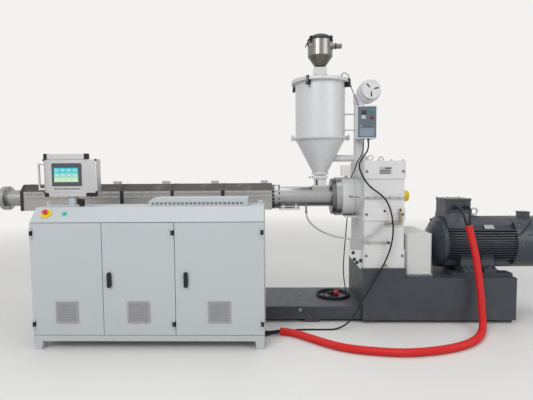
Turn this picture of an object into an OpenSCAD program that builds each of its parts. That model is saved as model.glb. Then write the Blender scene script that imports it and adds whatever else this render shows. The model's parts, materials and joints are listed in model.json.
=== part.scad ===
// Single-screw plastic extruder with its drive, hopper dryer, loader and control cabinet.
// Millimetres, Z up, floor at z = 0. The screw runs along X, the operator stands on the -Y side.
// Inside the modules x = 0 is the bolted joint between the barrel and the feed section, and
// y = 0 is the screw's axis. The whole machine is then moved so that its plan centre is the origin.

/* [Screw line] */
// Height of the screw's axis above the floor
axis_z = 1280; // [1200:10:1350]
// Length of the barrel, from its bolted flange to the head flange
barrel_len = 2965; // [2600:5:3400]
// Outer diameter of the barrel tube
barrel_d = 178; // [150:2:200]
// Bore of the barrel
bore_d = 75; // [60:1:90]
// Diameter of the flanges at the two ends of the barrel
barrel_flange_d = 262; // [240:2:300]
// Length of the barrel that the heater covers hide
covered_len = 2706; // [2500:2:2800]
// Number of heated zones
zones = 5; // [3:1:6]
// Half width of the heater covers, front to back
cover_half_w = 150; // [135:5:170]
// Length of the feed section
feed_len = 569; // [520:1:640]
// Outer diameter of the feed section
feed_d = 216; // [200:2:240]
// Diameter of the dark ring flange behind the feed section
ring_flange_d = 416; // [380:2:440]
// Length of the dark ring flange
ring_flange_len = 104; // [80:2:130]
// Diameter of the thrust bearing housing
bearing_d = 404; // [370:2:430]
// Length of the thrust bearing housing
bearing_len = 176; // [150:2:220]

/* [Gearbox and frames] */
// Length of the gearbox along the screw
gearbox_len = 425; // [380:5:480]
// Depth of the gearbox, front to back
gearbox_depth = 740; // [680:10:780]
// Height of the gearbox's top
gearbox_top = 1652; // [1600:2:1720]
// Depth of the machine frame, front to back
frame_depth = 800; // [800:10:900]
// Height of the pedestal under the gearbox
pedestal_top = 566; // [540:2:600]
// Height of the frame under the motor
motor_frame_top = 470; // [460:2:480]
// Right end of the machine frame
frame_right = 2420; // [2380:5:2600]
// Height of the pads under the frame
pad_h = 36; // [25:1:45]
// Top of the low bed under the barrel
bed_top = 168; // [150:2:220]

/* [Motor] */
// Diameter over the motor's fins
motor_d = 550; // [500:5:560]
// Height of the motor's axis above the frame
motor_shaft_h = 310; // [300:2:330]
// Left end of the motor
motor_left = 1643; // [1630:1:1660]
// Length of the finned housing
motor_fin_len = 700; // [650:5:740]
// Right end of the fan cowl
motor_right = 2950; // [2900:5:3000]
// Thickness of one cooling fin
fin_t = 8; // [5:0.5:10]
// Distance between cooling fins
fin_pitch = 25; // [22:0.5:32]

/* [Cabinet] */
// Width of the control cabinet
cab_w = 2030; // [1900:10:2200]
// Depth of the control cabinet
cab_depth = 500; // [460:10:560]
// Distance from the screw's axis to the face of the doors
cab_front_y = -1030; // [-1100:5:-1030]
// Left side of the cabinet
cab_left = -2130; // [-2200:5:-2130]
// Height of the cabinet's top
cab_top = 1245; // [1220:5:1260]
// Height of the feet
foot_h = 75; // [60:5:90]
// Height of the base rail
rail_h = 51; // [40:1:60]
// Height where the doors end and the sloping panel starts
slope_bottom = 1122; // [1090:2:1130]
// How far the sloping panel leans back
slope_back = 120; // [90:5:140]
// Width of the left door with half its gap
door_left_w = 627; // [560:1:660]
// Width of the middle door with its gap
door_middle_w = 632; // [560:1:660]
// Gap round the doors
door_gap = 5; // [5:0.5:6]
// Thickness of the cabinet's sheet
sheet = 3; // [2:0.5:4]
// Depth of a door's folded edge
door_t = 18; // [15:1:20]

/* [Operator pod] */
// Width of the operator pod
pod_w = 489; // [420:1:500]
// Height of the operator pod
pod_h = 304; // [280:1:340]
// Depth of the operator pod
pod_depth = 110; // [90:5:130]
// Height of the pod's underside
pod_bottom = 1370; // [1370:2:1400]

/* [Hopper dryer] */
// Diameter of the hopper's cylinder
hopper_d = 530; // [480:5:560]
// Height of the hopper's rim
hopper_rim_z = 2505; // [2400:5:2560]
// Height where the cone meets the cylinder
hopper_knuckle_z = 1905; // [1880:5:1950]
// Height of the cone's lower end
hopper_outlet_z = 1529; // [1520:1:1540]
// Wall of the hopper
hopper_wall = 3; // [2:0.5:5]
// Distance from the bolted joint to the hopper's centre
hopper_x = 490; // [470:2:500]
// Diameter of the loader's cylinder
loader_d = 264; // [240:2:290]
// Height of the top of the loader's motor
loader_height = 431; // [420:1:460]

/* [Hidden] */

$fn = 64;

// Colours of the real finishes
WHITE_PAINT = [0.86, 0.87, 0.86];
CABINET_GREY = [0.82, 0.83, 0.82];
SLATE = [0.23, 0.26, 0.31];
MOTOR_BLUE = [0.12, 0.14, 0.18];
STEEL = [0.72, 0.72, 0.72];
DARK_STEEL = [0.28, 0.28, 0.29];
BLACK = [0.06, 0.06, 0.07];
BRASS = [0.75, 0.58, 0.28];

// Seating distance between pieces that rest on each other round a curve
seat = 0.3;
eps = 1;

// Along the screw
joint_flange_half = 36;
feed_right = joint_flange_half + feed_len;
ring_right = feed_right + ring_flange_len;
gearbox_left = ring_right + bearing_len;
gearbox_right = gearbox_left + gearbox_len;
barrel_left = -joint_flange_half - barrel_len + 1;
head_flange_t = 50;
screws = 20;
pocket_r = 15;
outlet_depth = 150;
covers_right = -joint_flange_half + 1;
covers_left = covers_right - covered_len;
zone_pitch = covered_len / zones;
strap_w = 38;
cover_low = cover_half_w - 20;
cover_high = cover_half_w - 2;
cover_chamfer = 72;
strap_proud = 2;
heater_out_r = barrel_d / 2 + 26;

// Machine frame
frame_front = -frame_depth / 2;
frame_back = frame_depth / 2;
frame_left = gearbox_left - 5;
gearbox_front = -gearbox_depth / 2;
cable_y = gearbox_front - 32;
hose_y = gearbox_front - 22;
guard_half = 0.4 * frame_depth;
guard_h = 436;
bed_left = -2050;
pad_x = [bed_left + 20, 0.34 * bed_left, 0.34 * frame_left, frame_left + 30, motor_left - 23, frame_right - 160];
motor_axis_z = motor_frame_top + motor_shaft_h;
motor_fins_x = motor_left + 152;
motor_core_r = motor_d / 2 - 37;
bell_r = motor_d / 2 - 4;
eye_seat_z = motor_axis_z + motor_d / 2 + 4;
guard_right = motor_left - 43;
rail_t = 30;
band_in = 12;
case_split = 1113;
cover_split = gearbox_top - 32;

// Cabinet
cab_right = cab_left + cab_w;
cab_back_y = cab_front_y + cab_depth;
carcass_y = cab_front_y + 28;
base_top = foot_h + rail_h;
door_z0 = base_top + door_gap;
door_z1 = slope_bottom - door_gap;
split_1 = cab_left + door_left_w;
split_2 = split_1 + door_middle_w;
hinge_inset = 13;
hinge_left_x = cab_left + hinge_inset;
hinge_middle_x = split_2 - door_gap / 2 - hinge_inset;
hinge_right_x = cab_right - hinge_inset;
hinge_y = cab_front_y - 6;
hinge_z = [230, 1030];
hinge_block_h = 40;
hinge_pin_r = 4;
pin_clearance = 0.08;
lock_depth = 25;
vent_w = 195;
vent_h = 190;
vent_z = 335;
vent_left_x = cab_left + 308;
vent_middle_x = split_1 + 311;
vent_right_x = split_2 + 382;
lock_middle_x = split_1 + 62;
lock_right_x = split_2 + 96;
slope_angle = atan2(cab_top - slope_bottom, slope_back);
top_vent_left = cab_left + 0.488 * cab_w;
top_vent_right = cab_right - 148;
top_vent_front = cab_front_y + 0.36 * cab_depth;
top_vent_h = 75;
top_vent_slots = 22;

// Operator pod
pod_x = cab_left + 270;
pod_y = cab_front_y + 265;
post_r = 45;
spigot_r = 25;
post_top = pod_bottom - 40;
pod_face_y = pod_y - pod_depth / 2;

// Throat, hopper and dryer
throat_half = 50;
neck_half = 62;
neck_flange_r = 92;
neck_bottom = axis_z + feed_d / 2 + 1;
gate_z = hopper_outlet_z - 39;
gate_t = 6;
hopper_r = hopper_d / 2;
rim_r = hopper_r + 40;
outlet_r = 79;
lid_top = hopper_rim_z + 75;
loader_top = lid_top + loader_height;
loader_base_top = lid_top + loader_height * 75 / 431;
loader_h = loader_top - loader_base_top;
loader_cone_top = loader_base_top + 0.34 * loader_h;
loader_lid_z = loader_top - 0.185 * loader_h;
port_z = loader_lid_z - 0.16 * loader_h;
port_r = 28;
port_reach = 97;
port_collar = 8;
heater_x = hopper_x + hopper_r + 155;
heater_r = 56;
air_pipe_r = 36;
air_pipe_z = hopper_outlet_z + 163;
blower_x = heater_x + 99;
blower_z = 2400;

// Plan centre of the machine
front_y = cab_front_y - lock_depth;
origin_x = (barrel_left + motor_right) / 2;
origin_y = (front_y + frame_back) / 2;

// Routes of the free cords, chosen by hand, as they hang and lie
conduit_r = 35;
CONDUIT = [[1900, -452, 1006], [1919, -462, 925], [1942, -476, 810], [1966, -489, 680],
    [1984, -499, 545], [1999, -509, 410], [2009, -520, 280], [2009, -545, 150],
    [1990, -600, 68], [1938, -690, 37], [1840, -830, 35], [1700, -960, 35],
    [1520, -1060, 35], [1300, -1130, 35], [1060, -1160, 35], [820, -1130, 35],
    [590, -1060, 35], [400, -930, 35], [240, -790, 35], [130, -715, 35], [40, -690, 35]];
motor_cable_r = 12;
MOTOR_CABLE_1 = [[1896, -172, 1165], [1898, -235, 1155], [1888, -330, 1128],
    [1880, -410, 1077], [1887, -449, 1007]];
MOTOR_CABLE_2 = [[2013, -172, 1165], [2009, -240, 1150], [1965, -340, 1113],
    [1924, -420, 1064], [1914, -452, 1007]];
tail_r = 11;
TAIL_1 = [[36, -706, 35], [-40, -712, 22], [-120, -730, 13], [-185, -735, 30], [-200, -735, 75]];
TAIL_2 = [[44, -674, 35], [-35, -668, 22], [-120, -672, 13], [-225, -680, 30], [-245, -680, 75]];
lead_r = 6;
DRYER_LEAD = [[930, -130, 1860], [930, -130, 1800], [923, -128, 1745], [902, -118, 1698],
    [876, -102, 1652], [865, -80, 1610], [858, -40, 1565], [852, 20, 1530], [848, 90, 1495],
    [843, 160, 1445], [842, 215, 1380], [842, 240, 1280], [838, 242, 1150],
    [825, 240, 960], [805, 235, 740], [790, 228, 540], [785, 215, 380],
    [790, 190, 260], [806, 140, 204], [814, 60, 190]];
coil_turn_r = 170;
COIL_AT = [640, 40];
control_r = 8;
CONTROL_CABLE = [[980, -150, 1860], [975, -160, 1790], [905, -260, 1700], [850, -340, 1620],
    [850, cable_y + 12, 1550], [880, cable_y, 1480], [958, cable_y, 1385], [1078, cable_y, 1290], [1145, cable_y, 1170],
    [1170, cable_y - 22, 1000], [1158, cable_y - 20, 830], [1098, cable_y - 20, 650], [972, cable_y - 38, 430],
    [850, -470, 240], [720, -530, 70], [560, -570, 8], [340, -575, 8],
    [120, -600, 8], [-60, -627, 8], [-200, -632, 14], [-320, -632, 38], [-340, -632, 75]];
hose_r = 9;
WATER_HOSE = [[335, -60, 1105], [345, -90, 1050], [400, -170, 980], [500, -270, 920],
    [640, -340, 882], [790, hose_y + 7, 868], [920, hose_y - 6, 888], [1020, hose_y - 6, 945],
    [1060, hose_y, 1005], [1106, hose_y, axis_z - 256]];
hose_end = WATER_HOSE[len(WATER_HOSE) - 1];
sensor_r = 4;
SENSOR_CABLE = [[700, -110, 2535], [712, -125, 2570], [750, -150, 2560], [780, -160, 2480],
    [810, -160, 2380], [850, -155, 2290], [870, -150, 2222]];

// A box between two corners
module box(x0, x1, y0, y1, z0, z1)
    translate([x0, y0, z0]) cube([x1 - x0, y1 - y0, z1 - z0]);

// Cylinders along X, Y and Z, from one end to the other
module x_rod(x0, x1, r, y = 0, z = 0) translate([x0, y, z]) rotate([0, 90, 0]) cylinder(r = r, h = x1 - x0);
module y_rod(y0, y1, r, x = 0, z = 0) translate([x, y0, z]) rotate([-90, 0, 0]) cylinder(r = r, h = y1 - y0);
module z_rod(z0, z1, r, x = 0, y = 0) translate([x, y, z0]) cylinder(r = r, h = z1 - z0);

// Turns a profile of [x, radius] points round the screw's axis
module x_turned(profile) translate([0, 0, axis_z]) rotate([0, 90, 0]) rotate_extrude() polygon([for (p = profile) [p[1], p[0]]]);

// A profile in Y and Z, pushed along X
module x_extruded(x0, x1) translate([x0, 0, 0]) rotate([90, 0, 90]) linear_extrude(x1 - x0) children();

// A profile in X and Z, pushed along Y
module y_extruded(y0, y1) translate([0, y1, 0]) rotate([90, 0, 0]) linear_extrude(y1 - y0) children();

// A rectangle with round corners, between two corners
module round_rect(x0, x1, y0, y1, r) {
    translate([x0 + r, y0]) square([x1 - x0 - 2 * r, y1 - y0]);
    translate([x0, y0 + r]) square([x1 - x0, y1 - y0 - 2 * r]);
    for (x = [x0 + r, x1 - r], y = [y0 + r, y1 - r]) translate([x, y]) circle(r, $fn = 32);
}

// A rectangle with its corners cut off
module cut_rect(x0, x1, y0, y1, c)
    polygon([[x0 + c, y0], [x1 - c, y0], [x1, y0 + c], [x1, y1 - c],
        [x1 - c, y1], [x0 + c, y1], [x0, y1 - c], [x0, y0 + c]]);

// Unit vector, and a direction across a route at one of its points
function unit(v) = v / norm(v);
function along(route, i) = unit(route[min(i + 1, len(route) - 1)] - route[max(i - 1, 0)]);
function across(d) = unit(cross(d, abs(d[2]) > 0.9 ? [1, 0, 0] : [0, 0, 1]));

// The first direction across the route, carried from ring to ring without twist
function carried(route, i) =
    i == 0 ? across(along(route, 0))
    : let (before = carried(route, i - 1), d = along(route, i)) unit(before - d * (before * d));

// A cord: rings of points round each point of its route, closed at both ends
module cord(route, r, sides = 8) {
    rings = [for (i = [0 : len(route) - 1])
        let (u = carried(route, i), v = cross(along(route, i), u))
        for (k = [0 : sides - 1])
            route[i] + r * (u * cos(360 * k / sides) + v * sin(360 * k / sides))];
    last = (len(route) - 1) * sides;
    walls = [for (i = [0 : len(route) - 2], k = [0 : sides - 1])
        let (a = i * sides + k, b = i * sides + (k + 1) % sides) [a, b, b + sides, a + sides]];
    polyhedron(points = rings, faces = concat(walls,
        [[for (k = [sides - 1 : -1 : 0]) k]], [[for (k = [0 : sides - 1]) last + k]]), convexity = 10);
}

// Welded frame: a tall pedestal under the gearbox, and a long box with two rails under the motor
module base_frame() color(SLATE) {
    y_extruded(frame_front, frame_back)
        polygon([[frame_left, pad_h], [frame_right, pad_h], [frame_right, motor_frame_top],
            [gearbox_right, motor_frame_top], [gearbox_right, pedestal_top], [frame_left, pedestal_top]]);
    for (side = [-1, 1])
        box(motor_left + 165, frame_right, side * 255 - 65, side * 255 + 65, motor_frame_top - eps, motor_frame_top + rail_t);
}

// Low bed that carries the barrel, with its two barrel supports
module bed_frame() color(SLATE) {
    box(bed_left, frame_left - seat, frame_front + 40, frame_back - 40, pad_h, bed_top);
    for (i = [1, zones - 1]) barrel_support(covers_left + i * zone_pitch + strap_w / 2);
}

// One barrel support: a plate with a foot, up to the underside of an end plate of the covers
module barrel_support(x) {
    support_top = axis_z - cover_low - strap_proud - seat;
    x_extruded(x - strap_w / 2, x + strap_w / 2)
        polygon([[-170, bed_top - eps], [170, bed_top - eps], [110, axis_z - 260],
            [110, support_top], [-110, support_top], [-110, axis_z - 260]]);
    box(x - 90, x + 90, -190, 190, bed_top - eps, bed_top + 25);
}

// Pads that carry the frame and the bed
module floor_pads() color(DARK_STEEL)
    for (x = pad_x, side = [-1, 1])
        translate([x, side * (frame_depth / 2 - 105) - 55, 0]) cube([150, 110, pad_h]);

// Barrel tube with its bolted flange and head flange, open at the head end down to the screw's tip
module barrel() color(STEEL) {
    r = barrel_d / 2;
    difference() {
        x_turned([[barrel_left, 0], [barrel_left, barrel_flange_d / 2],
            [barrel_left + head_flange_t, barrel_flange_d / 2], [barrel_left + head_flange_t, r],
            [-joint_flange_half + 1, r], [-joint_flange_half + 1, barrel_flange_d / 2],
            [0, barrel_flange_d / 2], [0, 0]]);
        x_rod(barrel_left - eps, barrel_left + outlet_depth, bore_d / 2, 0, axis_z);
        for (a = [0 : 45 : 315]) rotate_about_axis(a)
            x_rod(barrel_left - eps, barrel_left + head_flange_t + eps, 9, 0, axis_z + barrel_flange_d / 2 - 22);
        for (a = [360 / screws / 2 : 360 / screws : 359]) rotate_about_axis(a)
            x_rod(-joint_flange_half, -8, pocket_r, 0, axis_z + barrel_flange_d / 2 - 3);
    }
}

// Turns what follows round the screw's axis
module rotate_about_axis(a) translate([0, 0, axis_z]) rotate([a, 0, 0]) translate([0, 0, -axis_z]) children();

// Heater bands clamped round the barrel, one to a zone
module barrel_heaters() color([0.6, 0.6, 0.58])
    for (i = [0 : zones - 1])
        x_turned([for (p = [[0, 0], [1, 0], [1, 1], [0, 1]])
            [covers_left + i * zone_pitch + strap_w + 30 + p[0] * (zone_pitch - strap_w - 60),
             p[1] == 0 ? barrel_d / 2 + seat : heater_out_r]]);

// Outline of a heater cover in Y and Z, seen along the screw
function cover_outline(grow) = let (w = cover_half_w + grow, hi = cover_high + grow, lo = cover_low + grow, c = cover_chamfer)
    [[-w, -lo], [w, -lo], [w, hi - c], [w - c, hi], [-w + c, hi], [-w, hi - c]];

// Sheet covers over the heaters, with a row of louvre slots along the front and back
module barrel_covers() color([0.66, 0.66, 0.65])
    for (i = [0 : zones - 1]) {
        x0 = covers_left + i * zone_pitch + strap_w;
        x1 = covers_left + (i + 1) * zone_pitch;
        difference() {
            x_extruded(x0, x1) translate([0, axis_z]) polygon(cover_outline(0));
            x_extruded(x0 - eps, x1 + eps) translate([0, axis_z]) polygon(cover_outline(-3));
            for (k = [0 : 4]) let (xs = x0 + (k + 0.5) * (x1 - x0) / 5)
                box(xs - 36, xs + 36, -cover_half_w - eps, cover_half_w + eps, axis_z + 50, axis_z + 60);
        }
    }

// Dark end plates between the covers, with a hole for the barrel
module cover_straps() color(BLACK)
    for (i = [0 : zones - 1]) {
        x0 = covers_left + i * zone_pitch;
        difference() {
            x_extruded(x0, x0 + strap_w) translate([0, axis_z]) polygon(cover_outline(strap_proud));
            x_rod(x0 - eps, x0 + strap_w + eps, barrel_d / 2 + seat, 0, axis_z);
        }
    }

// Grooved feed section between the barrel and the drive, with its square throat
module feed_section() color(STEEL) difference() {
    union() {
        x_turned([[0, 0], [0, barrel_flange_d / 2], [joint_flange_half, barrel_flange_d / 2],
            [joint_flange_half, feed_d / 2], [feed_right, feed_d / 2], [feed_right, 0]]);
        box(hopper_x - 90, hopper_x + 90, -90, 90, axis_z, neck_bottom);
    }
    box(hopper_x - throat_half, hopper_x + throat_half, -throat_half, throat_half, axis_z, neck_bottom + eps);
}

// Drip tray under the feed section, hung on two straps
module feed_tray() color(WHITE_PAINT) {
    difference() {
        box(40, 266, -115, 115, axis_z - 140, axis_z - 122);
        box(44, 262, -111, 111, axis_z - 137, axis_z - 121);
    }
    for (x = [85, 225]) difference() {
        box(x - 15, x + 15, -60, 60, axis_z - 138, axis_z);
        x_rod(x - 20, x + 20, feed_d / 2 + seat, 0, axis_z);
    }
}

// Dark stepped ring that bolts the feed section to the bearing housing
module ring_flange() color(DARK_STEEL)
    x_turned([[feed_right, 0], [feed_right, ring_flange_d / 2 - 14], [feed_right + 40, ring_flange_d / 2 - 14],
        [feed_right + 40, ring_flange_d / 2], [ring_right, ring_flange_d / 2], [ring_right, 0]]);

// Round housing of the thrust bearing
module bearing_housing() color(WHITE_PAINT)
    x_turned([[ring_right, 0], [ring_right, bearing_d / 2], [gearbox_left - 45, bearing_d / 2],
        [gearbox_left - 45, bearing_d / 2 - 12], [gearbox_left - 25, bearing_d / 2 - 12],
        [gearbox_left - 25, bearing_d / 2], [gearbox_left, bearing_d / 2], [gearbox_left, 0]]);

// One storey of the cast case: a recessed wall between two proud bands
module case_storey(z0, z1, low_band, high_band) {
    box(gearbox_left + band_in, gearbox_right - band_in, gearbox_front + band_in, -gearbox_front - band_in, z0, z1);
    for (b = [[z0, z0 + low_band], [z1 - high_band, z1]])
        translate([0, 0, b[0]]) linear_extrude(b[1] - b[0])
            cut_rect(gearbox_left, gearbox_right, gearbox_front, -gearbox_front, 14);
}

// Lower half of the gearbox case, with the round seat of the input shaft
module gearbox_lower_case() color(WHITE_PAINT) {
    case_storey(pedestal_top, case_split, 186, 65);
    x_rod(gearbox_right - band_in - eps, gearbox_right + 8, 110, 0, motor_axis_z);
}

// Upper half of the gearbox case
module gearbox_upper_case() color(WHITE_PAINT)
    case_storey(case_split, cover_split, 66, 149);

// Flat cover with a breather
module gearbox_cover() color(WHITE_PAINT) {
    translate([0, 0, cover_split]) linear_extrude(gearbox_top - cover_split)
        cut_rect(gearbox_left, gearbox_right, gearbox_front, -gearbox_front, 14);
    z_rod(gearbox_top - eps, gearbox_top + 35, 16, gearbox_left + 90, -80);
    z_rod(gearbox_top + 35 - eps, gearbox_top + 60, 26, gearbox_left + 90, -80);
}

// Oil pipe across the gearbox, the pump's fitting and the water fittings
module pipes_and_fittings() color(BRASS) {
    cooler_z = hose_end[2] + 106;
    y_rod(hose_y, gearbox_front, 12, gearbox_right - 60, cooler_z);
    z_rod(hose_end[2] - 12, cooler_z + 14, 12, gearbox_right - 60, hose_y);
    x_rod(hose_end[0], gearbox_right - 60, 9, hose_end[1], hose_end[2]);
    difference() {
        z_rod(WATER_HOSE[0][2], axis_z - 80, 11, WATER_HOSE[0][0], WATER_HOSE[0][1]);
        x_rod(0, feed_right, feed_d / 2 + seat, 0, axis_z);
    }
}

// Cap over the rear end of the output shaft
module shaft_end_cap() color([0.9, 0.75, 0.1])
    x_turned([[gearbox_right - band_in, 0], [gearbox_right - band_in, 78], [gearbox_right + 15, 78],
        [gearbox_right + 15, 65], [gearbox_right + 95, 65], [gearbox_right + 110, 50], [gearbox_right + 110, 0]]);

// Sheet guard over the coupling, on a foot strip
module coupling_guard() color(CABINET_GREY) {
    translate([0, 0, motor_frame_top]) linear_extrude(guard_h)
        cut_rect(gearbox_right + 20, guard_right, -guard_half, guard_half, 22);
    box(gearbox_right + 15, guard_right + 5, -guard_half - 10, guard_half + 10, motor_frame_top, motor_frame_top + 26);
}

// A lifting eye: a ring standing on a collar, turned to face the front
module eye(x, y, z, ring_r, wire_r) translate([x, y, z]) {
    translate([0, 0, ring_r + wire_r + 4]) rotate([90, 0, 0]) rotate_extrude() translate([ring_r, 0]) circle(wire_r, $fn = 24);
    cylinder(r = ring_r * 0.7, h = 8);
}

// Lifting eyes of the motor, the gearbox and the cabinet
module lifting_eyes() color(STEEL) {
    eye(motor_left + 520, 0, eye_seat_z, 34, 10);
    for (p = [[-110, -220], [110, 220]]) eye((gearbox_left + gearbox_right) / 2 + p[0], p[1], gearbox_top, 24, 8);
    for (x = [cab_left + 36, cab_right - 36]) eye(x, pod_y, cab_top, 16, 5);
}

// Section of the finned housing: bars clipped to the outer circle
module fin_section() translate([0, motor_axis_z]) intersection() {
    circle(motor_d / 2);
    union() {
        circle(motor_core_r);
        for (k = [-6 : 6]) {
            translate([-motor_d / 2, k * fin_pitch - fin_t / 2]) square([motor_d, fin_t]);
            translate([k * fin_pitch - fin_t / 2, -motor_d / 2]) square([fin_t, motor_d]);
        }
    }
}

// Outline of a motor foot in Y and Z, from its sole up into the housing
function foot_outline() = let (sole = motor_frame_top + rail_t)
    [[60, sole], [290, sole], [290, sole + 35], [230, sole + 60], [215, motor_axis_z - 60], [60, motor_axis_z - 150]];

// Finned motor housing with its bell-shaped end, shaft, feet and the boss of its lifting eye
module motor_housing() color(MOTOR_BLUE) {
    x_extruded(motor_fins_x - eps, motor_fins_x + motor_fin_len) fin_section();
    translate([0, 0, motor_axis_z]) rotate([0, 90, 0]) rotate_extrude()
        polygon([[0, motor_left], [110, motor_left], [118, motor_left + 30], [170, motor_left + 45],
            [225, motor_left + 80], [bell_r, motor_left + 112], [bell_r, motor_fins_x], [0, motor_fins_x]]);
    for (x = [motor_fins_x + 138, motor_fins_x + 350], side = [-1, 1])
        x_extruded(x, x + 130)
            polygon([for (p = foot_outline()) [side * p[0], p[1]]]);
    x_rod(guard_right, motor_left + eps, 42, 0, motor_axis_z);
    box(motor_left + 480, motor_left + 560, -40, 40, motor_axis_z, eye_seat_z);
}

// Fan cowl with its rear grille and the fan's own small terminal box
module motor_cowl() color(MOTOR_BLUE) difference() {
    union() {
        translate([0, 0, motor_axis_z]) rotate([0, 90, 0]) rotate_extrude()
            polygon([[0, motor_fins_x + motor_fin_len], [motor_d / 2, motor_fins_x + motor_fin_len],
                [motor_d / 2, motor_right - 20], [motor_d / 2 - 20, motor_right], [0, motor_right]]);
        box(motor_fins_x + motor_fin_len + 136, motor_fins_x + motor_fin_len + 226, -70, 30,
            motor_axis_z + 240, motor_axis_z + 320);
    }
    for (k = [-8 : 8]) let (half = sqrt(pow(motor_d / 2 - 40, 2) - pow(k * 26, 2)))
        box(motor_right - 12, motor_right + eps, -half, half, motor_axis_z + k * 26 - 8, motor_axis_z + k * 26 + 8);
}

// Terminal box on the motor, with its overhanging lid and two cable glands
module motor_terminal_box() color(MOTOR_BLUE) {
    x0 = motor_left + 153;
    x1 = motor_left + 429;
    box(x0 + 10, x1 - 30, -100, 100, motor_axis_z + motor_d / 2 + seat, motor_axis_z + 320);
    box(x0 + 10, x1 - 10, -140, 140, motor_axis_z + 320, motor_axis_z + 450);
    translate([0, 0, motor_axis_z + 450]) linear_extrude(23) round_rect(x0, x1, -155, 155, 30);
    for (x = [MOTOR_CABLE_1[0][0], MOTOR_CABLE_2[0][0]]) y_rod(-172, -139, 26, x, motor_axis_z + 385);
}

// Neck under the hopper, with its guide for the slide gate
module throat_neck() color(WHITE_PAINT) difference() {
    union() {
        box(hopper_x - 85, hopper_x + 85, -85, 85, neck_bottom, neck_bottom + 12);
        box(hopper_x - neck_half, hopper_x + neck_half, -neck_half, neck_half, neck_bottom, hopper_outlet_z);
        box(hopper_x - 80, hopper_x + 80, -80, 80, gate_z - 14, gate_z + 14);
        z_rod(hopper_outlet_z - 10, hopper_outlet_z, neck_flange_r, hopper_x, 0);
    }
    box(hopper_x - throat_half, hopper_x + throat_half, -throat_half, throat_half, neck_bottom - eps, hopper_outlet_z + eps);
    box(hopper_x - 81, hopper_x + 66, -63, 63, gate_z - gate_t / 2 - 0.4, gate_z + gate_t / 2 + 0.4);
}

// Slide gate: a steel plate with a bar handle at its pulled end
module slide_gate() color(STEEL) {
    box(hopper_x - 110, hopper_x + 60, -62, 62, gate_z - gate_t / 2, gate_z + gate_t / 2);
    y_rod(-50, 50, 10, hopper_x - 112, gate_z);
}

// Hopper: cone and cylinder of rolled sheet, with a flange at the outlet and a rim
module hopper_shell() color(WHITE_PAINT)
    translate([hopper_x, 0, 0]) rotate_extrude()
        polygon([[outlet_r - hopper_wall, hopper_outlet_z], [outlet_r + 10, hopper_outlet_z],
            [outlet_r + 10, hopper_outlet_z + 11], [outlet_r, hopper_outlet_z + 11],
            [hopper_r, hopper_knuckle_z - 12], [hopper_r + 25, hopper_knuckle_z - 12],
            [hopper_r + 25, hopper_knuckle_z + 12], [hopper_r, hopper_knuckle_z + 12],
            [hopper_r, hopper_rim_z - 20], [rim_r, hopper_rim_z - 20], [rim_r, hopper_rim_z],
            [hopper_r - hopper_wall, hopper_rim_z], [hopper_r - hopper_wall, hopper_knuckle_z],
            [outlet_r - hopper_wall, hopper_outlet_z + 14]]);

// Lid of the hopper, rising to the loader's seat
module hopper_lid() color(WHITE_PAINT) {
    translate([hopper_x, 0, 0]) rotate_extrude()
        polygon([[0, hopper_rim_z], [rim_r, hopper_rim_z], [rim_r, hopper_rim_z + 14],
            [110, hopper_rim_z + 45], [68, hopper_rim_z + 50], [68, lid_top], [0, lid_top]]);
    z_rod(hopper_rim_z + 10, SENSOR_CABLE[0][2], 12, SENSOR_CABLE[0][0], SENSOR_CABLE[0][1]);
}

// Toggle clamps round the rim
module hopper_clamps() color(BLACK)
    for (a = [-120, -20, 60, 150]) translate([hopper_x, 0, 0]) rotate([0, 0, a]) {
        box(rim_r + seat, rim_r + 14, -14, 14, hopper_rim_z - 70, hopper_rim_z + 20);
        box(hopper_r + seat, rim_r + 14, -14, 14, hopper_rim_z - 70, hopper_rim_z - 22);
    }

// Vacuum loader: base block, cone, polished cylinder and its suction port
module loader_body() color(STEEL) {
    r = loader_d / 2;
    box(hopper_x - 68, hopper_x + 68, -68, 68, lid_top, loader_base_top);
    translate([hopper_x, 0, 0]) rotate_extrude()
        polygon([[0, loader_base_top - eps], [50, loader_base_top - eps], [50, loader_base_top + 5],
            [r, loader_cone_top], [r, loader_lid_z], [0, loader_lid_z]]);
    difference() {
        union() {
            x_rod(hopper_x, hopper_x + r + port_reach, port_r, 0, port_z);
            x_rod(hopper_x, hopper_x + r + port_collar, port_r + 7, 0, port_z);
        }
        x_rod(hopper_x + r + port_reach - 60, hopper_x + r + port_reach + eps, port_r - 4, 0, port_z);
    }
}

// Lid and motor on top of the loader
module loader_lid() color(DARK_STEEL) translate([hopper_x, 0, 0]) rotate_extrude()
    polygon([[0, loader_lid_z], [loader_d / 2 - 20, loader_lid_z], [loader_d / 2 - 20, loader_lid_z + 16],
        [loader_d / 2 - 47, loader_lid_z + 26], [loader_d / 2 - 54, loader_top - 15], [40, loader_top], [0, loader_top]]);

// Air heater beside the hopper, with its pipe into the cone and its brackets
module dryer_heater() color(WHITE_PAINT) {
    cone_x = hopper_x + outlet_r + (hopper_r - outlet_r) * (air_pipe_z - hopper_outlet_z - 11) / (hopper_knuckle_z - hopper_outlet_z - 23);
    z_rod(air_pipe_z - air_pipe_r, blower_z - 120, heater_r, heater_x, 0);
    difference() {
        x_rod(cone_x - 40, heater_x, air_pipe_r, 0, air_pipe_z);
        translate([hopper_x, 0, hopper_outlet_z + 11])
            cylinder(r1 = outlet_r + seat, r2 = hopper_r + seat, h = hopper_knuckle_z - hopper_outlet_z - 23);
    }
    for (z = [1990, 2160]) difference() {
        box(hopper_x + hopper_r - 40, heater_x, -25, 25, z, z + 8);
        z_rod(z - eps, z + 9, hopper_r + seat, hopper_x, 0);
    }
    box(heater_x - 60, heater_x + 130, -70, -50, 1940, 2180);
    box(heater_x - 20, heater_x + 20, -63, 0, 1960, 2160);
}

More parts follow.
